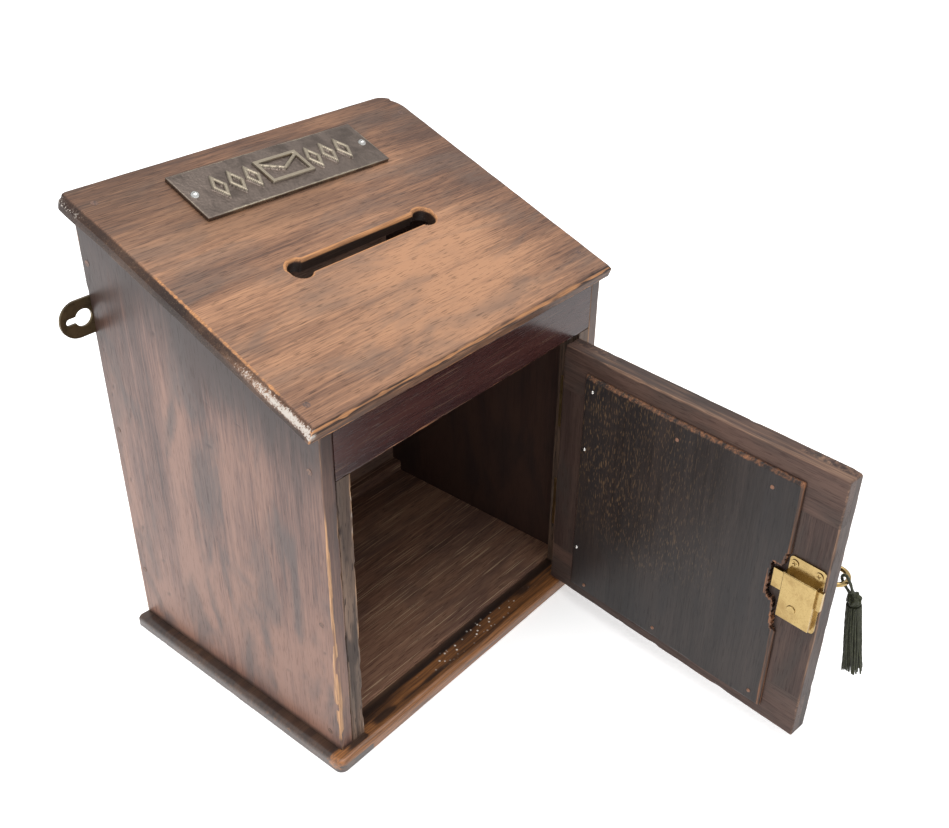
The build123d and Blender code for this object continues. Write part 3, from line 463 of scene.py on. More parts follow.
# "grain" has the shares of the broad figure, the streaks and the fibres in the tone
wood = {
    "lid": {
        "turn": (-slope, 0, 0), "roughness": 0.5, "specular": 0.25,
        "dark": rgb(0.095, 0.05, 0.034), "mid": rgb(0.2, 0.102, 0.06), "light": rgb(0.35, 0.182, 0.1),
        "cool": rgb(0.115, 0.08, 0.064), "poreAndShade": rgb(0.013, 0.008, 0.007), "bareAndLit": rgb(0.42, 0.2, 0.085),
        "pores": 0.4, "blotches": 0.55, "grain": (0.46, 0.2, 0.34),
    },
    "side": {
        "turn": grainUp, "roughness": 0.36, "specular": 0.34,
        "dark": rgb(0.045, 0.023, 0.019), "mid": rgb(0.105, 0.054, 0.042), "light": rgb(0.182, 0.097, 0.07),
        "cool": rgb(0.065, 0.049, 0.046), "poreAndShade": rgb(0.016, 0.009, 0.008), "bareAndLit": rgb(0.42, 0.235, 0.12),
        "pores": 0.25, "blotches": 0.8,
    },
    "frontRail": {
        "turn": grainAcross, "roughness": 0.22, "specular": 0.4,
        "dark": rgb(0.014, 0.004, 0.004), "mid": rgb(0.026, 0.008, 0.008), "light": rgb(0.045, 0.016, 0.014),
        "cool": rgb(0.018, 0.008, 0.009), "poreAndShade": rgb(0.009, 0.004, 0.004), "bareAndLit": rgb(0.26, 0.11, 0.05),
        "pores": 0.3, "blotches": 0.4,
    },
    "stile": {
        "turn": grainUp, "roughness": 0.55, "specular": 0.3,
        "dark": rgb(0.05, 0.028, 0.019), "mid": rgb(0.11, 0.068, 0.046), "light": rgb(0.18, 0.115, 0.08),
        "cool": rgb(0.075, 0.055, 0.043), "poreAndShade": rgb(0.018, 0.01, 0.008), "bareAndLit": rgb(0.42, 0.25, 0.14),
        "pores": 0.85, "blotches": 0.6,
    },
    "base": {
        "turn": grainAcross, "roughness": 0.32, "coat": 0.3, "specular": 0.6,
        "dark": rgb(0.016, 0.008, 0.006), "mid": rgb(0.034, 0.017, 0.011), "light": rgb(0.065, 0.034, 0.02),
        "cool": rgb(0.025, 0.018, 0.016), "poreAndShade": rgb(0.01, 0.006, 0.005), "bareAndLit": rgb(0.27, 0.105, 0.03),
        "pores": 0.4, "blotches": 0.5,
    },
    "inside": {
        "turn": grainAcross, "roughness": 0.7, "specular": 0.3,
        "dark": rgb(0.10, 0.047, 0.03), "mid": rgb(0.185, 0.093, 0.058), "light": rgb(0.28, 0.155, 0.095),
        "cool": rgb(0.10, 0.056, 0.044), "poreAndShade": rgb(0.035, 0.018, 0.012), "bareAndLit": rgb(0.34, 0.2, 0.11),
        "pores": 0.5, "blotches": 0.6, "grain": (0.5, 0.2, 0.3),
    },
    "back": {
        "turn": grainAcross, "roughness": 0.7, "specular": 0.25,
        "dark": rgb(0.11, 0.06, 0.042), "mid": rgb(0.18, 0.105, 0.074), "light": rgb(0.26, 0.16, 0.112),
        "cool": rgb(0.11, 0.072, 0.058), "poreAndShade": rgb(0.035, 0.019, 0.013), "bareAndLit": rgb(0.34, 0.2, 0.11),
        "pores": 0.55, "blotches": 0.7, "grain": (0.46, 0.26, 0.28),
    },
    # a lighter copy of the stiles' wood, partly painted light that lifts the top rail out of the lid's shadow
    "doorRail": {
        "turn": (0, 0, -doorAngle - pi), "roughness": 0.5, "specular": 0.22,
        "dark": rgb(0.034, 0.019, 0.015), "mid": rgb(0.058, 0.034, 0.027), "light": rgb(0.09, 0.053, 0.041),
        "cool": rgb(0.035, 0.028, 0.025), "poreAndShade": rgb(0.018, 0.009, 0.008), "bareAndLit": rgb(0.19, 0.115, 0.078),
        "pores": 0.35, "blotches": 0.6,
    },
    "doorStile": {
        "turn": grainUp, "roughness": 0.5, "specular": 0.22,
        "dark": rgb(0.026, 0.015, 0.012), "mid": rgb(0.042, 0.025, 0.021), "light": rgb(0.064, 0.039, 0.031),
        "cool": rgb(0.034, 0.029, 0.026), "poreAndShade": rgb(0.018, 0.009, 0.008), "bareAndLit": rgb(0.2, 0.12, 0.08),
        "pores": 0.35, "blotches": 0.6,
    },
    "panel": {
        "turn": grainUp, "roughness": 0.38, "specular": 0.3,
        "dark": rgb(0.011, 0.008, 0.0075), "mid": rgb(0.018, 0.0135, 0.0125),
        "light": rgb(0.029, 0.0215, 0.0195), "cool": rgb(0.017, 0.0155, 0.0165),
        "poreAndShade": rgb(0.008, 0.006, 0.006), "bareAndLit": rgb(0.22, 0.095, 0.045),
        "pores": 0.3, "blotches": 0.5,
    },
}


# what lies on the wood, the pale colour that also paints glints, and how far sooting and painted shade hide what
# is under it
grime = {
    "chalkAndGlint": rgb(0.42, 0.38, 0.34),
    "dust": rgb(0.2, 0.12, 0.06),
    "scratch": rgb(0.5, 0.35, 0.22),
    "crumb": rgb(0.8, 0.76, 0.68),
    "crumbsPerMetre": 420.0,
    "sootAndShadeCover": 0.93,
}


def woodMaterial(name, dashes=0.0, scratches=0.0, specks=0.0):
    look = wood[name]
    material, tree, shader, place = newMaterial(
        name + "Wood", look["roughness"], Coat_Weight=look.get("coat", 0.0), Coat_Roughness=0.25,
        Specular_IOR_Level=look["specular"],
    )
    turned = put(tree, "ShaderNodeMapping", {"Vector": place, "Rotation": look["turn"]})
    grain = turned.outputs[0]

    def mark(attribute):
        return put(tree, "ShaderNodeAttribute", attribute_name=attribute).outputs["Fac"]

    figure = cloud(tree, grain, (2.5, 42, 42), 4, 0.55, 0.6)
    streaks = cloud(tree, grain, (14, 420, 420), 5, 0.6, 0.15)
    fibres = cloud(tree, grain, (45, 1400, 1400), 3, 0.6)
    blotch = cloud(tree, grain, (16, 45, 45), 4, 0.55, 0.5)
    poreField = cloud(tree, grain, (110, 1500, 1500), 1, 0.5)
    pores = spread(tree, poreField, 0.585, 0.66)
    broad, middling, fine = look.get("grain", (0.4, 0.32, 0.28))
    # the tone mark also holds painted light and shade
    toneAndLight = maths(tree, "MULTIPLY_ADD", mark("toneAndLight"), 0.13, maths(tree, "MULTIPLY", figure, broad))
    toneAndLight = maths(tree, "MULTIPLY_ADD", streaks, middling, maths(tree, "MULTIPLY_ADD", fibres, fine, toneAndLight))
    ramp = put(tree, "ShaderNodeValToRGB", {"Fac": toneAndLight})
    stops = ramp.color_ramp.elements
    stops.new(0.5)
    for stop, (spot, shade) in zip(stops, ((0.40, "dark"), (0.5, "mid"), (0.61, "light"))):
        stop.position = spot
        stop.color = look[shade]
    cooled = maths(tree, "MULTIPLY", spread(tree, blotch, 0.45, 0.68), look["blotches"])
    colour = blendColour(tree, cooled, ramp.outputs[0], look["cool"])
    colour = blendColour(tree, maths(tree, "MULTIPLY", pores, look["pores"]), colour, look["poreAndShade"])
    # the soot mark also holds painted shade, laid on in the pore colour
    sootedAndShaded = maths(tree, "MULTIPLY", mark("sootAndShade"), grime["sootAndShadeCover"])
    colour = blendColour(tree, sootedAndShaded, colour, look["poreAndShade"])
    # wear shows ragged along the grain
    ragged = maths(tree, "MULTIPLY_ADD", maths(tree, "SUBTRACT", streaks, 0.5), 1.3, mark("wearAndHighlight"))
    rubbedAndLit = spread(tree, ragged, 0.3, 0.75)
    # the bare colour also paints the highlights that the worn mark holds
    bareAndLit = blendColour(tree, spread(tree, fibres, 0.4, 0.62, (0.0, 0.55)), look["bareAndLit"], look["dark"])
    colour = blendColour(tree, rubbedAndLit, colour, bareAndLit)
    # the pale mark, in the chalky colour, also holds painted glints and highlights
    chalkAndGlint = maths(tree, "MULTIPLY_ADD", maths(tree, "SUBTRACT", streaks, 0.5), 0.9, mark("pale"))
    chalkAndGlint = maths(tree, "MULTIPLY_ADD", maths(tree, "SUBTRACT", fibres, 0.5), 2.2, chalkAndGlint)
    chalkAndGlint = maths(tree, "MULTIPLY", spread(tree, chalkAndGlint, 0.35, 0.85), spread(tree, mark("pale"), 0.05, 0.3))
    colour = blendColour(tree, chalkAndGlint, colour, grime["chalkAndGlint"])
    if dashes:
        # short light ticks where dust has filled the pores
        tick = cloud(tree, grain, (260, 1500, 1500), 1, 0.4)
        lit = maths(tree, "MULTIPLY", spread(tree, tick, 0.58, 0.68), mark("dash"))
        colour = blendColour(tree, maths(tree, "MULTIPLY", lit, dashes), colour, grime["dust"])
    if scratches:
        line = cloud(tree, grain, (22, 1500, 1500), 1, 0.4)
        lit = maths(tree, "MULTIPLY", spread(tree, line, 0.63, 0.72), scratches)
        colour = blendColour(tree, lit, colour, grime["scratch"])
    if specks:
        # crumbs, in some of the cells
        cell = put(tree, "ShaderNodeTexVoronoi", {"Vector": place, "Scale": grime["crumbsPerMetre"]})
        near = spread(tree, cell.outputs["Distance"], 0.34, 0.2)
        pick = put(tree, "ShaderNodeSeparateColor", {"Color": cell.outputs["Color"]}).outputs[0]
        lit = maths(tree, "MULTIPLY", near, maths(tree, "GREATER_THAN", pick, 0.68))
        lit = maths(tree, "MULTIPLY", lit, mark("dash"))
        colour = blendColour(tree, lit, colour, grime["crumb"])
    tree.links.new(colour, shader.inputs["Base Color"])
    gloss = maths(tree, "MULTIPLY_ADD", blotch, 0.22, look["roughness"] - 0.11)
    gloss = maths(tree, "MULTIPLY_ADD", pores, 0.12, maths(tree, "MULTIPLY_ADD", rubbedAndLit, 0.14, gloss))
    tree.links.new(gloss, shader.inputs["Roughness"])
    height = maths(tree, "MULTIPLY_ADD", pores, -0.6, maths(tree, "MULTIPLY", streaks, 0.5))
    addBump(tree, shader, height, 0.35, 0.05)
    return material


woods = {
    "lid": woodMaterial("lid", scratches=0.08),
    "back": woodMaterial("back", scratches=0.12),
    "side": woodMaterial("side"),
    "frontRail": woodMaterial("frontRail", scratches=0.1),
    "stile": woodMaterial("stile"),
    "base": woodMaterial("base", specks=1.0),
    "inside": woodMaterial("inside", scratches=0.8),
    "doorRail": woodMaterial("doorRail"),
    "doorStile": woodMaterial("doorStile"),
    "panel": woodMaterial("panel", dashes=0.8),
}
print("wood stained")


# Metal, wax and cord finishes

def metalMaterial(name, light, dark, roughness, tarnish=0.4, depth=0.02, rubbedColour=None):
    material, tree, shader, place = newMaterial(name, roughness, 1.0)
    patches = cloud(tree, place, even(75), 5, 0.6, 0.4)
    grit = cloud(tree, place, even(900), 3, 0.6)
    share = maths(tree, "MULTIPLY", spread(tree, patches, 0.4, 0.7), tarnish)
    colour = blendColour(tree, share, light, dark)
    colour = blendColour(tree, spread(tree, grit, 0.5, 0.7, (0.0, 0.35)), colour, dark)
    if rubbedColour:
        rubbedAndLit = put(tree, "ShaderNodeAttribute", attribute_name="wearAndHighlight").outputs["Fac"]
        rubbedAndLit = spread(tree, maths(tree, "MULTIPLY_ADD", grit, 0.5, rubbedAndLit), 0.35, 1.0)
        colour = blendColour(tree, rubbedAndLit, colour, rubbedColour)
    tree.links.new(colour, shader.inputs["Base Color"])
    gloss = maths(tree, "MULTIPLY_ADD", patches, 0.25, roughness - 0.12)
    tree.links.new(gloss, shader.inputs["Roughness"])
    addBump(tree, shader, grit, 0.4, depth)
    return material


brass = metalMaterial("lockBrass", rgb(0.43, 0.31, 0.135), rgb(0.25, 0.155, 0.058), 0.26, 0.6)
hingeBrass = metalMaterial("hingeBrass", rgb(0.3, 0.21, 0.1), rgb(0.15, 0.1, 0.05), 0.42, 0.8)
bronze = metalMaterial("plateBronze", rgb(0.17, 0.135, 0.115), rgb(0.08, 0.064, 0.055), 0.42, 0.8, 0.06,
                       rgb(0.36, 0.31, 0.235))
darkBronze = metalMaterial("hangerBronze", rgb(0.15, 0.11, 0.06), rgb(0.05, 0.038, 0.024), 0.4, 0.9)
steel = metalMaterial("springSteel", rgb(0.62, 0.62, 0.6), rgb(0.3, 0.29, 0.27), 0.3, 0.6)


pinsPart = (-0.1185, -0.1175)  # in metres along y, between the bright pins and the filled ones


def pinMaterial():
    # bright pins beside the hinges, and filled ones elsewhere
    material, tree, shader, place = newMaterial("panelPins", 0.3)
    depth = put(tree, "ShaderNodeSeparateXYZ", {"Vector": place}).outputs["Y"]
    bright = spread(tree, depth, *pinsPart)
    patches = cloud(tree, place, even(1500), 3)
    filler = blendColour(tree, patches, rgb(0.10, 0.045, 0.025), rgb(0.26, 0.13, 0.08))
    metal = blendColour(tree, patches, rgb(0.35, 0.33, 0.3), rgb(0.85, 0.83, 0.8))
    tree.links.new(blendColour(tree, bright, filler, metal), shader.inputs["Base Color"])
    tree.links.new(bright, shader.inputs["Metallic"])
    tree.links.new(spread(tree, bright, 0, 1, (0.6, 0.25)), shader.inputs["Roughness"])
    return material


def nailMaterial():
    # punched heads, filled with dark wax
    material, tree, shader, place = newMaterial("nailWax", 0.5)
    patches = cloud(tree, place, even(900), 4, 0.6)
    share = spread(tree, patches, 0.35, 0.65)
    colour = blendColour(tree, share, rgb(0.05, 0.027, 0.02), rgb(0.14, 0.07, 0.045))
    tree.links.new(colour, shader.inputs["Base Color"])
    addBump(tree, shader, patches, 0.5, 0.1)
    return material


def cordMaterial():
    material, tree, shader, place = newMaterial(
        "tasselCord", 0.6, Sheen_Weight=0.08, Sheen_Roughness=0.4, Specular_IOR_Level=0.25
    )
    fibres = cloud(tree, place, even(1700), 3, 0.6)
    shade = spread(tree, cloud(tree, place, even(260), 3, 0.6), 0.35, 0.65)
    dark = blendColour(tree, shade, rgb(0.008, 0.010, 0.004), rgb(0.02, 0.023, 0.01))
    colour = blendColour(tree, spread(tree, fibres, 0.4, 0.75), dark, rgb(0.06, 0.062, 0.03))
    tree.links.new(colour, shader.inputs["Base Color"])
    addBump(tree, shader, fibres, 0.5, 0.1)
    return material


cordGreen = cordMaterial()
finishes = {
    "lock_brass": brass, "hinge_brass": hingeBrass, "bronze": darkBronze, "steel": steel,
    "nail_iron": nailMaterial(), "cord": cordGreen, "lid_wood": woods["lid"], "carcase_wood": woods["side"],
    "base_wood": woods["base"], "inner_wood": woods["inside"], "door_wood": woods["doorStile"],
    "panel_wood": woods["panel"],
}
for part in frame["record"]["subparts"]:
    node = nodes[part["node"]]
    node.data.materials.clear()
    node.data.materials.append(finishes[part["material_slot"]])
nodes["panel_pins"].data.materials[0] = pinMaterial()
nodes["back_board"].data.materials[0] = woods["back"]
nodes["front_right_stile"].data.materials[0] = woods["stile"]
nodes["name_plate_screws"].data.materials[0] = steel
print("finishes given")


# Tassel: a loop of two-ply cord over the key's bow, a Turk's-head knot and a skirt of strands

tassel = {
    "diameter": 1.9,
    "bowWire": (185.7, 100.0, -23.0),
    "lean": 22.0,
    # the loop's points in its leaning plane: distance beyond the bow's wire, and rise
    "loop": ((3.8737, -8.3394), (2.0, 6.5), (-2.5, 6.2), (-3.0, -1.6), (1.8017, -9.0906)),
    "knotSpot": (4.5, -13.3),
    "knotRadius": 4.85,
    "knotCord": 1.15,
    "skirtLean": 7.6,
    "skirtOutwardLean": 5.3,
    "skirtStart": 4.365,
    "skirtLength": 49.8,
    "skirtRadii": (4.4, 5.3, 6.9),
    "strand": 0.66,
    # how many strands stand in each ring, and the ring's share of the skirt's radius
    "rings": ((21, 1.0), (14, 0.7), (8, 0.36)),
    "knotSteps": 300,
    "strandSteps": 22,
}


def loopSpot(distance, rise):
    lean = radians(tassel["lean"])
    u, z, v = tassel["bowWire"]
    return onDoor(u + distance, z + rise * cos(lean), v + rise * sin(lean))


def splineSpots(name, spots):
    # points along a NURBS curve with these control points
    curve = bpy.data.curves.new(name, "CURVE")
    curve.dimensions = "3D"
    curve.resolution_u = 16
    spline = curve.splines.new("NURBS")
    spline.points.add(len(spots) - 1)
    for point, spot in zip(spline.points, spots):
        point.co = (*(np.array(spot) * mm), 1)
    spline.order_u = 3
    spline.use_endpoint_u = True
    holder = bpy.data.objects.new(name, curve)
    bpy.context.scene.collection.objects.link(holder)
    mesh = bpy.data.meshes.new_from_object(holder)
    found = np.array([vertex.co[:] for vertex in mesh.vertices])
    bpy.data.objects.remove(holder)
    bpy.data.meshes.remove(mesh)
    return found


def addTassel():
    loopPath = splineSpots("loopRoute", [loopSpot(*spot) for spot in tassel["loop"]])
    radii = [tassel["diameter"] / 2] * len(loopPath)
    points, faces = tube(loopPath / mm, radii, 16, 0.1, 5.5)
    loop = addPiece("tasselLoop", points, faces, "loop", ["tassel_loop"], cordGreen, sharp=70)

    middle = loopSpot(*tassel["knotSpot"])
    sideways, outwards = (tan(radians(tassel[key])) for key in ("skirtLean", "skirtOutwardLean"))
    down = along * sideways - inward * outwards - upward
    down /= np.linalg.norm(down)
    across = np.cross(down, (0.3, 0.9, 0.1))
    across /= np.linalg.norm(across)
    third = np.cross(down, across)

    def place(x, y, depth):
        return middle + across * x + third * y + down * depth

    # Turk's head over a core
    reach = tassel["knotRadius"] - tassel["knotCord"] - 0.35
    path = []
    steps = tassel["knotSteps"]
    for step in range(steps):
        turn = 6 * pi * step / steps
        latitude = 0.95 * sin(5 * turn / 3)
        far = reach + 0.35 * sin(10 * turn / 3)
        wide = far * cos(latitude)
        path.append(place(wide * cos(turn), wide * sin(turn), far * sin(latitude)))
    braid = tube(path, [tassel["knotCord"]] * steps, 8, 0.12, 26)
    core = tube([place(0, 0, depth) for depth in np.linspace(-3.6, 4.2, 9)],
                [1.2, 2.6, 3.2, 3.5, 3.6, 3.5, 3.3, 3.2, 3.0], 16)
    points, faces = gather([braid, core])
    knot = addPiece("tasselKnot", points, faces, "tassel", ["tassel_knot"], cordGreen, sharp=70)

    strands = []
    rng = np.random.default_rng(11)
    top, waist, hem = tassel["skirtRadii"]
    thick, steps = tassel["strand"], tassel["strandSteps"]
    for count, share in tassel["rings"]:
        for number in range(count):
            angle = 2 * pi * (number + 0.3 * rng.random()) / count
            drift = rng.normal(0, 0.16)
            flare = rng.uniform(0.72, 1.0)
            long = tassel["skirtLength"] * rng.uniform(0.95, 0.985)
            wave = rng.uniform(0, 2 * pi)
            path = []
            for step in np.linspace(0, 1, steps):
                if step < 0.5:
                    out = top + (waist - top) * step * 2
                else:
                    out = waist + (hem * flare - waist) * (step * 2 - 1) ** 1.7
                out = share * (out - thick) + 0.12 * sin(7 * step + wave)
                turn = angle + drift * step + 0.05 * sin(5 * step + wave)
                depth = tassel["skirtStart"] - 0.5 + long * step
                path.append(place(out * cos(turn), out * sin(turn), depth))
            widths = np.full(steps, thick)
            widths[-1] *= 0.82
            strands.append(tube(path, widths, 8, 0.14, 7, wave))
    points, faces = gather(strands)
    skirt = addPiece("tasselSkirt", points, faces, "tassel", ["tassel_skirt"], cordGreen, sharp=70)


addTassel()
print("tassel tied")


# Lid

lid = {
    "halfWidth": 122.5,
    "front": -1.0,
    "length": 192.55,
    "thickness": 8.4,
    "bevel": 2.6,
    "cornerRadii": (4.0, 16.0),
    "slotX": -1.3,
    "slotY": 88.2,
    "slotHalf": 48.3,
    "slotHalfWidth": 4.75,
    "slotEnd": 7.0,
    "snapReach": 0.62,
}


def slotDistance(x, y):
    # signed distance to the letter slot's outline, negative inside it
    across, upSlope = abs(x - lid["slotX"]), y - lid["slotY"]
    a, b = across - lid["slotHalf"], abs(upSlope) - lid["slotHalfWidth"]
    straight = np.hypot(np.clip(a, 0, None), np.clip(b, 0, None)) + np.clip(np.maximum(a, b), None, 0)
    bored = np.hypot(across - lid["slotHalf"], upSlope) - lid["slotEnd"]
    return np.minimum(straight, bored)


def addLid():
    half, front, back, thick = lid["halfWidth"], lid["front"], lid["length"], lid["thickness"]
    low, high = (-half, front, 0.0), (half, back, thick)
    slotX, slotY = lid["slotX"], lid["slotY"]
    boring = np.arange(-7, 7.1, 0.7)
    ends = [slotX + side * (lid["slotHalf"] + step) for side in (-1, 1) for step in boring]
    ups = [slotY + step for step in (*boring, -lid["slotHalfWidth"], lid["slotHalfWidth"])]
    points, faces, wearAndHighlight = sawBoard(
        low, high, (ends, ups, ()), 0.45, (1.9, 1.9, 1.2), lambda x, y, z: slotDistance(x, y) < 0,
        radius=0.5, chips=0.7, width=1.6, strength=0.75, seed=3,
    )
    # the slot's walls go to its outline
    gap = slotDistance(points[:, 0], points[:, 1])
    step = 0.01
    lean = np.stack([slotDistance(points[:, 0] + step, points[:, 1]) - gap,
                     slotDistance(points[:, 0], points[:, 1] + step) - gap], axis=1) / step
    onWall = np.zeros(len(points), bool)
    onWall[np.unique(faces[np.ptp(points[faces][:, :, 2], axis=1) > 0.01])] = True
    snap = onWall & (abs(gap) < lid["snapReach"])
    points[snap, :2] -= (lean * gap[:, None])[snap]
    # and its upper arris is worn, more so on the uphill side
    gap = slotDistance(points[:, 0], points[:, 1])
    uphill = ease(points[:, 1], slotY, slotY + 3)
    soften = (0.7 + 1.1 * uphill) * (0.75 + 0.5 * softNoise(points, 5, 9))
    drop = arrisDrop(soften, gap) * ease(points[:, 2], thick - 4.5, thick - 0.3)
    points[:, 2] -= np.where(gap > -0.05, drop, 0)
    # bevels on the front and the sides
    uneven = 0.35 * (softNoise(points, 20, 12) - 0.5) + 0.25 * (softNoise(points, 5, 13) - 0.5)
    points = pareArris(points, 1, front, 2, thick, lid["bevel"] + uneven)
    for side, extra in ((-1, 1.0), (1, 0)):
        points = pareArris(points, 0, side * half, 2, thick, lid["bevel"] + extra + uneven)
    points = sink(points, low, high, 0.10, 26, (2,), 40)

    x, y, z = points.T
    wearAndHighlight[abs(gap) < 2.6] = 0
    beside = (gap > -1) * (1 - ease(gap, 0.7 + 0.8 * uphill, 1.3 + 1.5 * uphill))
    slotWear = (0.4 * uphill + 0.7) * beside * ease(z, thick - 2.2, thick - 1.1)
    wearAndHighlight = np.maximum(wearAndHighlight, slotWear)
    frontness = 1 - ease(y, front + 1.5, front + 3.6)
    leftness = 1 - ease(x, -half + 2.7, -half + 4.0)
    rightness = ease(x, half - 3.4, half - 1.6)
    charred = ease(softNoise(points, (12, 1.3, 1.3), 15), 0.4, 0.65)
    charred *= ease(softNoise(points, (38, 8, 8), 16), 0.15, 0.4)
    bevelled = ease(z, thick - 3.0, thick - 2.4)
    scuffed = 0.1 + 0.25 * softNoise(points, 8, 17) + bevelled * (0.3 - 0.9 * charred)
    wearAndHighlight = np.maximum(wearAndHighlight, frontness * scuffed)
    burnt = 0.85 * charred * bevelled * (z < thick - 0.3)
    sootAndShade = frontness * np.maximum(burnt, 0.35 * (1 - bevelled))
    # the left edge is dark, with a thin worn line above and, towards the front, chalky wear with a painted
    # highlight on it
    edge = leftness * (1 - frontness)
    wearAndHighlight = np.where(edge > 0.5, 0, wearAndHighlight)
    sootAndShade = np.maximum(sootAndShade, edge * (0.85 + 0.2 * softNoise(points, 16, 18)))
    line = np.exp(-((x + half - 3.8) / 0.7) ** 2) * (y > 8) * ease(165 - y, 0, 40)
    broken = ease(softNoise(points, (8, 14, 8), 19), 0.35, 0.6)
    wearAndHighlight = np.maximum(wearAndHighlight, line * (0.35 + 0.6 * broken))
    band = leftness * np.exp(-((z - thick + 2.9) / 1.8) ** 2)
    chalkAndGlint = band * (1 - ease(y, 14, 78)) * (0.55 + 0.6 * softNoise(points, (4, 5, 3), 20))
    corner = frontness * (1 - ease(x, -half + 2, -half + 8)) * (z > 3)
    # pale: the chalky band and the front-left corner, worn and with a painted highlight, and a painted glint on
    # the back-left corner
    pale = np.maximum.reduce([chalkAndGlint, 0.5 * corner, 0.34 * band * ease(y, 166, 178)])
    sootAndShade *= 1 - np.clip(chalkAndGlint * 1.3, 0, 1)
    wearAndHighlight = np.where(rightness > 0.5, np.clip(wearAndHighlight, 0, 0.4), wearAndHighlight)
    wearAndHighlight *= 1 - 0.9 * ease(y, back - 4, back - 1.5)
    # lighter at the front middle, worn by hands and with a broad painted reflection there; darker round the plate,
    # and towards the back, the sides and the front edge where that painted reflection fades
    toneAndLight = 0.55 - 0.8 * ease(y, 45, 165) + softNoise(points, (60, 34, 30), 22) - 0.5
    toneAndLight += np.exp(-((x - 5) / 70) ** 2 - ((y - 38) / 40) ** 2)
    toneAndLight -= 0.4 * ease(-x, 60, 110) * ease(60 - y, 0, 40)
    toneAndLight -= 0.6 * ease(x, 50, 110) + 0.7 * frontness
    # painted shade inside the slot, darker the deeper it goes
    inSlot = ease(0.5 - gap, 0, 0.4) * ease(thick - z, 0.7, 2.6)
    dusky = 1 - ease(np.hypot((x + 30) / 75, (y - 150) / 34), 0.6, 1.25)
    # painted shade towards the back, more on the left
    backward = (0.28 + 0.2 * ease(-x, 20, 90)) * ease(y, 115, 180)
    sootAndShade = np.maximum.reduce([sootAndShade, 0.99 * inSlot, 0.42 * dusky, backward])
    points[:, 0] -= 1.2 * leftness * ease(y, 150, 188)
    for side, radius in zip((-1, 1), lid["cornerRadii"]):
        points = roundPlan(points, (side * (half - radius), back - radius), (side, 1), radius)
    addPiece(
        "lidBoard", lidToWorld(points), faces, "box", ["top_lid"], woods["lid"],
        {"wearAndHighlight": wearAndHighlight, "pale": np.clip(pale, 0, 1), "sootAndShade": np.clip(sootAndShade, 0, 1), "toneAndLight": toneAndLight},
    )


addLid()
print("lid made")


# Carcase: sides, base, top rail and left stile

carcase = {
    "halfWidth": 115.0,
    "halfDepth": 90.0,
    "side": 8.7,
    "frontHeight": 219.3,
    "base": 8.5,
    "baseSide": 7.8,
    "baseFront": 7.2,
    "baseRounding": 3.6,
    "baseCorner": 4.0,
    "stile": 9.5,
    "frameDepth": 13.4,
    "doorwayTop": 189.7,
    "hangerZ": (213.0, 235.0),
    "hangerDepth": 1.6,
    # heights as drawn, before the upper end follows the lid
    "sideDrawn": 240.0,
    "railDrawn": 30.0,
    # where the wear on each side's front arris starts, is full, fades and ends
    "wornRun": {-1: (10, 22, 150, 190), 1: (12, 30, 90, 120)},
}


def underLid(y):
    return carcase["frontHeight"] + (y + carcase["halfDepth"]) * tan(slope)


def slopedTop(points, bottom, scale):
    # the board's upper end follows the lid
    moved = points.copy()
    moved[:, 2] = bottom + (underLid(points[:, 1]) - bottom) * (points[:, 2] / scale)
    return moved


def addSide(sign, name, node):
    outer, inner = sign * carcase["halfWidth"], sign * (carcase["halfWidth"] - carcase["side"])
    bottom, deep, drawn = carcase["base"], carcase["halfDepth"], carcase["sideDrawn"]
    low, high = (min(outer, inner), -deep, 0.0), (max(outer, inner), deep, drawn)
    backHeight = underLid(deep) - bottom
    seatFoot, seatTop = ((z - bottom) / backHeight * drawn for z in carcase["hangerZ"])
    seatFoot, seatTop = seatFoot - 0.3, seatTop + 0.5
    seatY = deep - carcase["hangerDepth"] - 0.1
    points, faces, wearAndHighlight = sawBoard(
        low, high, ((), (seatY,), (seatFoot, seatTop)), 0.45, (3, 2.4, 2.0),
        lambda x, y, z: (y > seatY) & (z > seatFoot) & (z < seatTop),
        axes=(0, 1), radius=0.7, chips=0.9, chipSize=7, width=2.2, strength=0.45, seed=50 + sign,
    )
    points = sink(points, low, high, 0.14, 34, (0,), 60 + sign)
    points = slopedTop(points, bottom, drawn)
    x, y, z = points.T
    frontArris = np.hypot(x - outer, y + deep)
    start, full, fade, end = carcase["wornRun"][sign]
    run = ease(z, start, full) * (1 - ease(z, fade, end))
    ripple = softNoise(points, (20, 20, 24), 63) * softNoise(points, 9, 64)
    broad = 1.0 + 4.6 * ripple + 0.8 * (z < 90)
    broad *= 1 - 0.5 * ease(z, 100, 140)
    stripe = 1.15 - ease(frontArris, 0.35 * broad, broad + 0.6)
    stripe *= frontArris < broad + 1.5
    stripe *= 1 - 0.7 * ease(softNoise(points, (1.6, 1.6, 7), 67), 0.55, 0.75)
    wearAndHighlight = np.maximum(wearAndHighlight, run * stripe)
    foot = 1 - ease(z, bottom, bottom + 4.5)
    # painted shade under the lid's overhang and at the back top of the side
    shade = 0.8 * ease(y, 30, 95) * ease(z, 150, 250)
    shade = np.maximum(shade, 1 - ease(underLid(y) - z, 0, 60))
    # the inner face is darkened as painted shade inside the box
    within = ease(-sign * (x - (outer + inner) / 2), 0, 2.0) * (y > 1.0 - deep)
    dents = ease(softNoise(points, (2.4, 2.4, 3.4), 65), 0.9, 0.95) * (1 - within)
    frontFace = (1 - ease(y + deep, 0.4, 1.2)) * ease(z, 110, 185)
    sootAndShade = np.maximum.reduce([0.8 * foot, 0.85 * shade, 0.86 * within, 0.7 * dents, 0.5 * frontFace])
    points[:, 0] -= sign * 0.25 * dents
    toneAndLight = 1.0 + 1.3 * (softNoise(points, (40, 24, 60), 66) - 0.5)
    # darker towards the top and lighter towards the bottom: painted shade under the lid and a painted reflection
    # of the floor
    toneAndLight -= 0.8 * ease(z, 40, 190) + 1.2 * ease(z, 170, 260)
    addPiece(
        name, points, faces, "box", [node], woods["side"],
        {"wearAndHighlight": wearAndHighlight, "sootAndShade": sootAndShade, "toneAndLight": toneAndLight},
    )


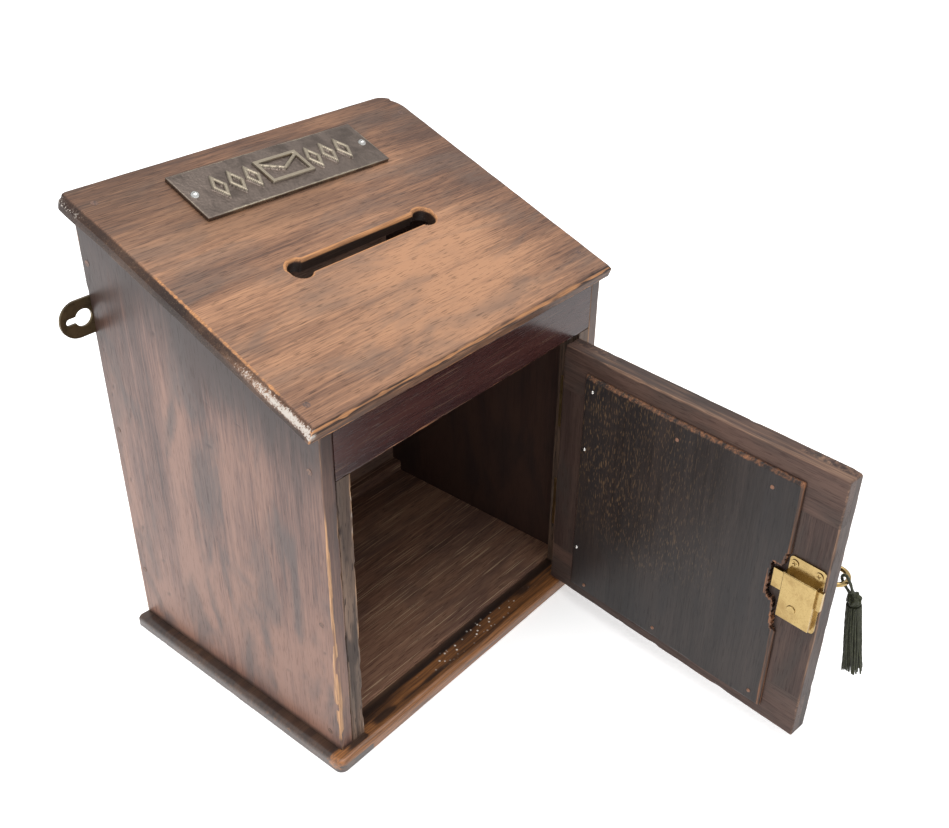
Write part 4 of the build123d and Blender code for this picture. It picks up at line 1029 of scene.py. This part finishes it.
def addBase():
    halfX, thick = carcase["halfWidth"] + carcase["baseSide"], carcase["base"]
    front, back = -carcase["halfDepth"] - carcase["baseFront"], carcase["halfDepth"]
    low, high = (-halfX, front, 0.0), (halfX, back, thick)
    points, faces, wearAndHighlight = sawBoard(
        low, high, ((), (-77.0,), ()), 0.5, (2.2, 2.4, 1.4), radius=0.5, chips=0.5, width=1.4,
        strength=0.25, seed=80,
    )
    # rounding along the front and the sides
    x, y, z = points.T
    rounding = carcase["baseRounding"] * (0.9 + 0.25 * softNoise(points, 12, 81))
    drop = arrisDrop(rounding, np.minimum(halfX - abs(x), y - front))
    points[:, 2] -= drop * ease(z, thick - 6.5, thick - 0.2) * 0.92
    points = sink(points, low, high, 0.12, 30, (2,), 82)
    radius = carcase["baseCorner"] + 1.0
    for side in (-1, 1):
        points = roundPlan(points, (side * (halfX - radius), front + radius), (side, -1), radius)
    x, y, z = points.T
    frontEdge = 1 - ease(y, front + 2.0, front + 5.0)
    corner = 1 - ease(np.hypot(x + halfX - 3, y - front - 3), 6, 16)
    smooth = softNoise(points, (24, 7, 6), 83)
    sill = (1 - ease(y, -84, -79)) * (abs(x) < 97) * (0.48 + 0.45 * softNoise(points, (30, 7, 9), 84))
    worn = frontEdge * ease(z, 3.5, 6.0) * (0.65 + 0.6 * smooth)
    stains = ease(softNoise(points, (20, 6, 5), 85), 0.5, 0.85) * ease(y, front + 4, front + 7)
    cornerWear = corner * (0.28 + 0.45 * smooth) * (z > 2.0)
    wearAndHighlight = np.maximum.reduce([wearAndHighlight, sill * (1 - 0.8 * stains), worn, cornerWear])
    joint = (1 - ease(abs(y + 80.5), 1.0, 4.0)) * (abs(x) < 100)
    sootAndShade = np.maximum(0.6 * joint, 0.3 * stains * (z > 5))
    crumbs = np.exp(-((x - 10) / 40) ** 2 - ((y + 86) / 4.2) ** 2)
    addPiece(
        "baseBoard", points, faces, "box", ["base_board"], woods["base"],
        {"wearAndHighlight": wearAndHighlight, "sootAndShade": sootAndShade,
         "toneAndLight": 0.2 + 0.6 * (softNoise(points, 40, 86) - 0.5), "dash": ease(crumbs, 0.05, 0.5)},
    )


def addTopRail():
    half = carcase["halfWidth"] - carcase["side"]
    front = -carcase["halfDepth"]
    low, high = (-half, front, 0.0), (half, front + carcase["frameDepth"], carcase["railDrawn"])
    points, faces, wearAndHighlight = sawBoard(
        low, high, fine=0.45, coarse=(2.4, 2.4, 2.0), axes=(1, 2), radius=0.7, chips=0.6, width=1.6,
        strength=0.5, seed=100,
    )
    points = sink(points, low, high, 0.08, 24, (1,), 101)
    points = slopedTop(points, carcase["doorwayTop"], carcase["railDrawn"])
    wearAndHighlight *= 1 - ease(points[:, 2], 196, 200)
    addPiece(
        "topRail", points, faces, "box", ["front_top_rail"], woods["frontRail"],
        {"wearAndHighlight": wearAndHighlight, "toneAndLight": 0.2 + 0.5 * (softNoise(points, 30, 102) - 0.5)},
    )


def addLeftStile():
    outer, front = carcase["halfWidth"] - carcase["side"], -carcase["halfDepth"]
    low = (-outer, front, carcase["base"])
    high = (carcase["stile"] - outer, front + carcase["frameDepth"], carcase["doorwayTop"])
    points, faces, wearAndHighlight = sawBoard(
        low, high, fine=0.4, coarse=(1.2, 1.4, 1.1), axes=(0, 1), radius=0.5, chips=1.3, chipSize=6,
        width=1.5, strength=0.55, seed=120,
    )
    x, y, z = points.T
    chipped = ease(softNoise(points, (8, 8, 5), 121), 0.5, 0.85)
    pale = 0.34 * (1 - ease(np.hypot(x - high[0], y - low[1]), 0.4, 2.2)) * (0.3 + chipped)
    cracks = ease(softNoise(points, (1.1, 3, 26), 122), 0.66, 0.8) * (x < high[0] - 1.5)
    # the upper part darkens as painted shade towards the top of the doorway
    sootAndShade = np.maximum(0.85 * cracks, 0.45 * ease(z, 120, 185))
    toneAndLight = 0.4 + 0.8 * (softNoise(points, (20, 20, 50), 123) - 0.5)
    addPiece(
        "leftStile", points, faces, "box", ["front_left_stile"], woods["stile"],
        {"wearAndHighlight": wearAndHighlight * (x > 3 - outer), "pale": pale, "sootAndShade": sootAndShade, "toneAndLight": toneAndLight},
    )


addSide(-1, "leftSide", "left_side")
addSide(1, "rightSide", "right_side")
addBase()
addTopRail()
addLeftStile()
print("carcase made")


# Door: four lapped members and a bevelled panel

door = {
    "low": (0.4, 9.4, 0.8),
    "high": (191.2, 188.0, 13.8),
    "middle": 7.3,
    "stile": 33.0,
    "rail": 29.2,
    "openingBevel": 2.5,
    "leafHeights": (59.6, 137.8),
    "leafLength": 38.0,
    "leafWidth": 11.6,
    "leafThickness": 1.0,
    "knuckle": 2.3,
    "keyHole": (177.5, 100.0),
    "keyRound": 3.2,
    "keySlot": (1.75, 8.6),
    "panelLow": (20.0, 17.6, 13.8),
    "panelHigh": (169.0, 176.4, 17.0),
    "panelBevel": 1.5,
    "notch": (
        (170.0, 132.0), (167.9, 130.8), (166.3, 121.8), (160.0, 121.6), (159.6, 98.3), (164.7, 97.0),
        (166.8, 77.7), (170.0, 75.1),
    ),
}


def addDoorBoard(name, node, material, foot, head, marks, hollow, seed):
    low, high = np.array(door["low"]), np.array(door["high"])
    points, faces, wearAndHighlight = sawBoard(
        foot, head, marks, 0.45, (1.8, 1.8, 1.5), hollow, (low, high), radius=0.9, chips=0.9,
        chipSize=7, width=1.8, strength=0.6, seed=seed,
    )
    # bevel round the panel's opening, on the outer face
    u, z, v = points.T
    inU = np.maximum(low[0] + door["stile"] - u, u - high[0] + door["stile"])
    inZ = np.maximum(low[1] + door["rail"] - z, z - high[1] + door["rail"])
    short = np.clip(door["openingBevel"] - np.maximum(inU, inZ) - (v - low[2]), 0, None) / 2
    byU = inU >= inZ
    centre = (low + high) / 2
    points[:, 0] += np.where(byU, short * np.sign(u - centre[0]), 0)
    points[:, 1] += np.where(byU, 0, short * np.sign(z - centre[1]))
    points[:, 2] += short
    points = sink(points, low, high, 0.10, 26, (2,), seed)
    u, z, v = points.T
    upper = ease(z, high[1] - 1.4, high[1] - 0.2)
    worn = upper * (0.12 + 0.35 * softNoise(points, (26, 10, 5), seed + 3) + 0.2 * ease(u, 90, 190))
    addPiece(
        name, doorToWorld(points), faces, "door", [node], material,
        {"wearAndHighlight": np.maximum(wearAndHighlight, worn), "toneAndLight": 0.3 + 0.7 * (softNoise(points, 34, seed + 5) - 0.5)},
    )


def addDoorRail(name, node, foot, seed):
    low, high = door["low"], door["high"]
    near, far = low[0] + door["stile"], high[0] - door["stile"]
    addDoorBoard(
        name, node, woods["doorRail"], (low[0], foot, low[2]), (high[0], foot + door["rail"], high[2]),
        ((near, far), (), (door["middle"],)),
        lambda u, z, v: (v < door["middle"]) & ((u < near) | (u > far)), seed,
    )


def addDoorStile(name, node, near, seed):
    low, high = door["low"], door["high"]
    foot, head = low[1] + door["rail"], high[1] - door["rail"]
    hinged = near == low[0]
    seatU, seatV = low[0] + door["leafThickness"], low[2] + door["leafWidth"]
    keyU, keyZ = door["keyHole"]

    def hollow(u, z, v):
        cut = (v > door["middle"]) & ((z < foot) | (z > head))
        if hinged:
            for middle in door["leafHeights"]:
                beside = abs(z - middle) < door["leafLength"] / 2
                cut |= beside & (((u < seatU) & (v < seatV)) | (np.hypot(u, v) < door["knuckle"]))
        else:
            slotHalf, slotDrop = door["keySlot"]
            cut |= np.hypot(u - keyU, z - keyZ) < door["keyRound"]
            cut |= (abs(u - keyU) < slotHalf) & (z < keyZ) & (z > keyZ - slotDrop)
        return cut

    if hinged:
        ends = [middle + side * door["leafLength"] / 2 for middle in door["leafHeights"] for side in (-1, 1)]
        marks = ((seatU,), (foot, head, *ends), (door["middle"], seatV))
    else:
        fineU = np.arange(keyU - 4.2, keyU + 4.3, 0.6)
        fineZ = np.arange(keyZ - 9.6, keyZ + 4.3, 0.6)
        marks = ((*fineU,), (foot, head, *fineZ), (door["middle"],))
    addDoorBoard(
        name, node, woods["doorStile"], (near, low[1], low[2]),
        (near + door["stile"], high[1], high[2]), marks, hollow, seed,
    )


def insideNotch(u, z):
    # whether points lie within the cut round the lock
    corners = door["notch"]
    inside = np.zeros(u.shape, bool)
    for (u1, z1), (u2, z2) in zip(corners, corners[1:] + corners[:1]):
        crosses = (z1 > z) != (z2 > z)
        inside ^= crosses & (u < (u2 - u1) * (z - z1) / (z2 - z1 + 1e-9) + u1)
    return inside


def addPanel():
    low, high = door["panelLow"], door["panelHigh"]
    fineU = np.arange(158.5, 169, 0.55)
    fineZ = np.arange(74.5, 133, 0.75)

    def hollow(u, z, v):
        wobble = 0.32 * np.sin(z * 1.7) + 0.2 * np.sin(z * 0.73 + 1)
        return insideNotch(u + wobble, z + 0.35 * np.sin(u * 2.1))

    points, faces, wearAndHighlight = sawBoard(
        low, high, (fineU, fineZ, ()), 0.45, (2.4, 2.4, 0.8), hollow, radius=0.3, chips=0.4,
        width=1.2, strength=0.3, seed=160,
    )
    bevel = 1.15 * door["panelBevel"] + 0.5 * (softNoise(points, 14, 161) - 0.5)
    for axis in (0, 1):
        for end in (low, high):
            points = pareArris(points, axis, end[axis], 2, high[2], bevel)
    u, z, v = points.T
    side = np.minimum(np.minimum(u - low[0], high[0] - u), np.minimum(z - low[1], high[1] - z))
    rim = 1 - ease(side, 1.4, 2.4)
    # the top rim is lighter as a painted highlight, where its bevel faces up towards the light
    topRim = rim * ease(z, high[1] - 3, high[1] - 2)
    rightRim = rim * ease(u, high[0] - 3, high[0] - 2)
    # a thin painted highlight along the bevel's arris, in the worn mark
    line = np.exp(-((side - 1.9) / 0.6) ** 2) * (0.2 + softNoise(points, 11, 162)) * (z > 60)
    torn = np.zeros(len(points))
    for shiftU, shiftZ in ((1.4, 0), (-1.4, 0), (0, 1.4), (0, -1.4)):
        torn = np.maximum(torn, insideNotch(u + shiftU, z + shiftZ) * 1.0)
    torn *= 0.25 + 0.5 * softNoise(points, (3, 6, 3), 163)
    wearAndHighlight = np.maximum.reduce([wearAndHighlight, 0.30 * rim + 0.18 * topRim + 0.22 * rightRim, 0.5 * line, torn])
    dusty = ease(150 - u, 0, 110) * ease(z, 48, 95) * (0.35 + 0.65 * softNoise(points, (26, 30, 20), 164))
    points = sink(points, low, high, 0.08, 24, (2,), 165)
    addPiece(
        "doorPanel", doorToWorld(points), faces, "door", ["door_panel"], woods["panel"],
        {"wearAndHighlight": wearAndHighlight, "toneAndLight": 0.2 + 0.6 * (softNoise(points, 30, 166) - 0.5), "dash": dusty},
    )


addDoorRail("doorBottomRail", "door_bottom_rail", door["low"][1], 140)
addDoorRail("doorTopRail", "door_top_rail", door["high"][1] - door["rail"], 145)
addDoorStile("doorHingeStile", "door_hinge_stile", door["low"][0], 150)
addDoorStile("doorLockStile", "door_lock_stile", door["high"][0] - door["stile"], 155)
addPanel()
print("door made")


# Name plate: a plain envelope between lozenges, cast in relief on a hatched ground

plate = {
    "width": 134.0,
    "height": 38.0,
    "thickness": 2.6,
    "x": -1.2,
    "upSlope": 157.7,
    "tilt": -1.2,
    "relief": 1.3,
    "envelope": (31.0, 19.6),
    "stroke": 2.3,
    "lozenge": (9.6, 19.6),
    "lozengePlaces": (22.4, 33.8, 45.2),
}


def reliefDistance(x, y):
    # signed distance to the raised lines of the envelope and the lozenges
    x = abs(x)
    wide, tall = plate["envelope"]
    stroke = plate["stroke"]

    def rectangle(halfWide, halfTall):
        return np.maximum(x - halfWide, abs(y) - halfTall)

    def lozenge(centre, halfWide, halfTall):
        reach = halfWide * halfTall / np.hypot(halfWide, halfTall)
        return (abs(x - centre) / halfWide + abs(y) / halfTall - 1) * reach

    frameLine = np.maximum(rectangle(wide / 2, tall / 2), -rectangle(wide / 2 - stroke, tall / 2 - stroke))
    start, finish = np.array((wide / 2 - stroke, tall / 2 - 1.5 * stroke)), np.array((0, -stroke / 2))
    run = finish - start
    share = np.clip(((x - start[0]) * run[0] + (y - start[1]) * run[1]) / run.dot(run), 0, 1)
    flap = np.hypot(x - start[0] - share * run[0], y - start[1] - share * run[1]) - 0.45 * stroke
    found = np.minimum(frameLine, flap)
    wide, tall = plate["lozenge"]
    for centre in plate["lozengePlaces"]:
        inner = lozenge(centre, wide / 2 - stroke, tall / 2 - 2 * stroke)
        found = np.minimum(found, np.maximum(lozenge(centre, wide / 2, tall / 2), -inner))
    return found


def addPlate():
    wide, tall, thick = plate["width"], plate["height"], plate["thickness"]
    low, high = (-wide / 2, -tall / 2, 0.0), (wide / 2, tall / 2, thick)
    points, faces, wearAndHighlight = sawBoard(
        low, high, fine=0.35, coarse=(0.48, 0.48, 0.9), radius=0.35, chips=0.2, chipSize=3, width=1.1,
        strength=0.9, seed=200,
    )
    x, y, z = points.T
    upper = z > thick - 0.5
    relief = reliefDistance(x, y)
    raised = 1 - ease(relief, -0.15, 0.3)
    hatch = 0.5 + 0.5 * np.sin((x + 0.6 * y) * 2 * pi / 1.15)
    ground = (0.16 * hatch * softNoise(points, 7, 203) + 0.16 * softNoise(points, 0.9, 201)) * (1 - raised)
    points[:, 2] += np.where(upper, plate["relief"] * raised - 0.25 * (1 - raised) + ground, 0)
    rimmed = np.exp(-(relief / 0.4) ** 2)
    wearAndHighlight = np.maximum(wearAndHighlight * 0.5, upper * (0.55 * raised + 0.3 * rimmed * softNoise(points, 4, 204)))
    turn = radians(plate["tilt"])
    turned = points.copy()
    turned[:, 0] = plate["x"] + points[:, 0] * cos(turn) - points[:, 1] * sin(turn)
    turned[:, 1] = plate["upSlope"] + points[:, 0] * sin(turn) + points[:, 1] * cos(turn)
    turned[:, 2] += lid["thickness"]
    addPiece(
        "namePlate", lidToWorld(turned), faces, "box", ["name_plate"], bronze,
        {"wearAndHighlight": wearAndHighlight}, sharp=50,
    )


addPlate()
print("name plate cast")
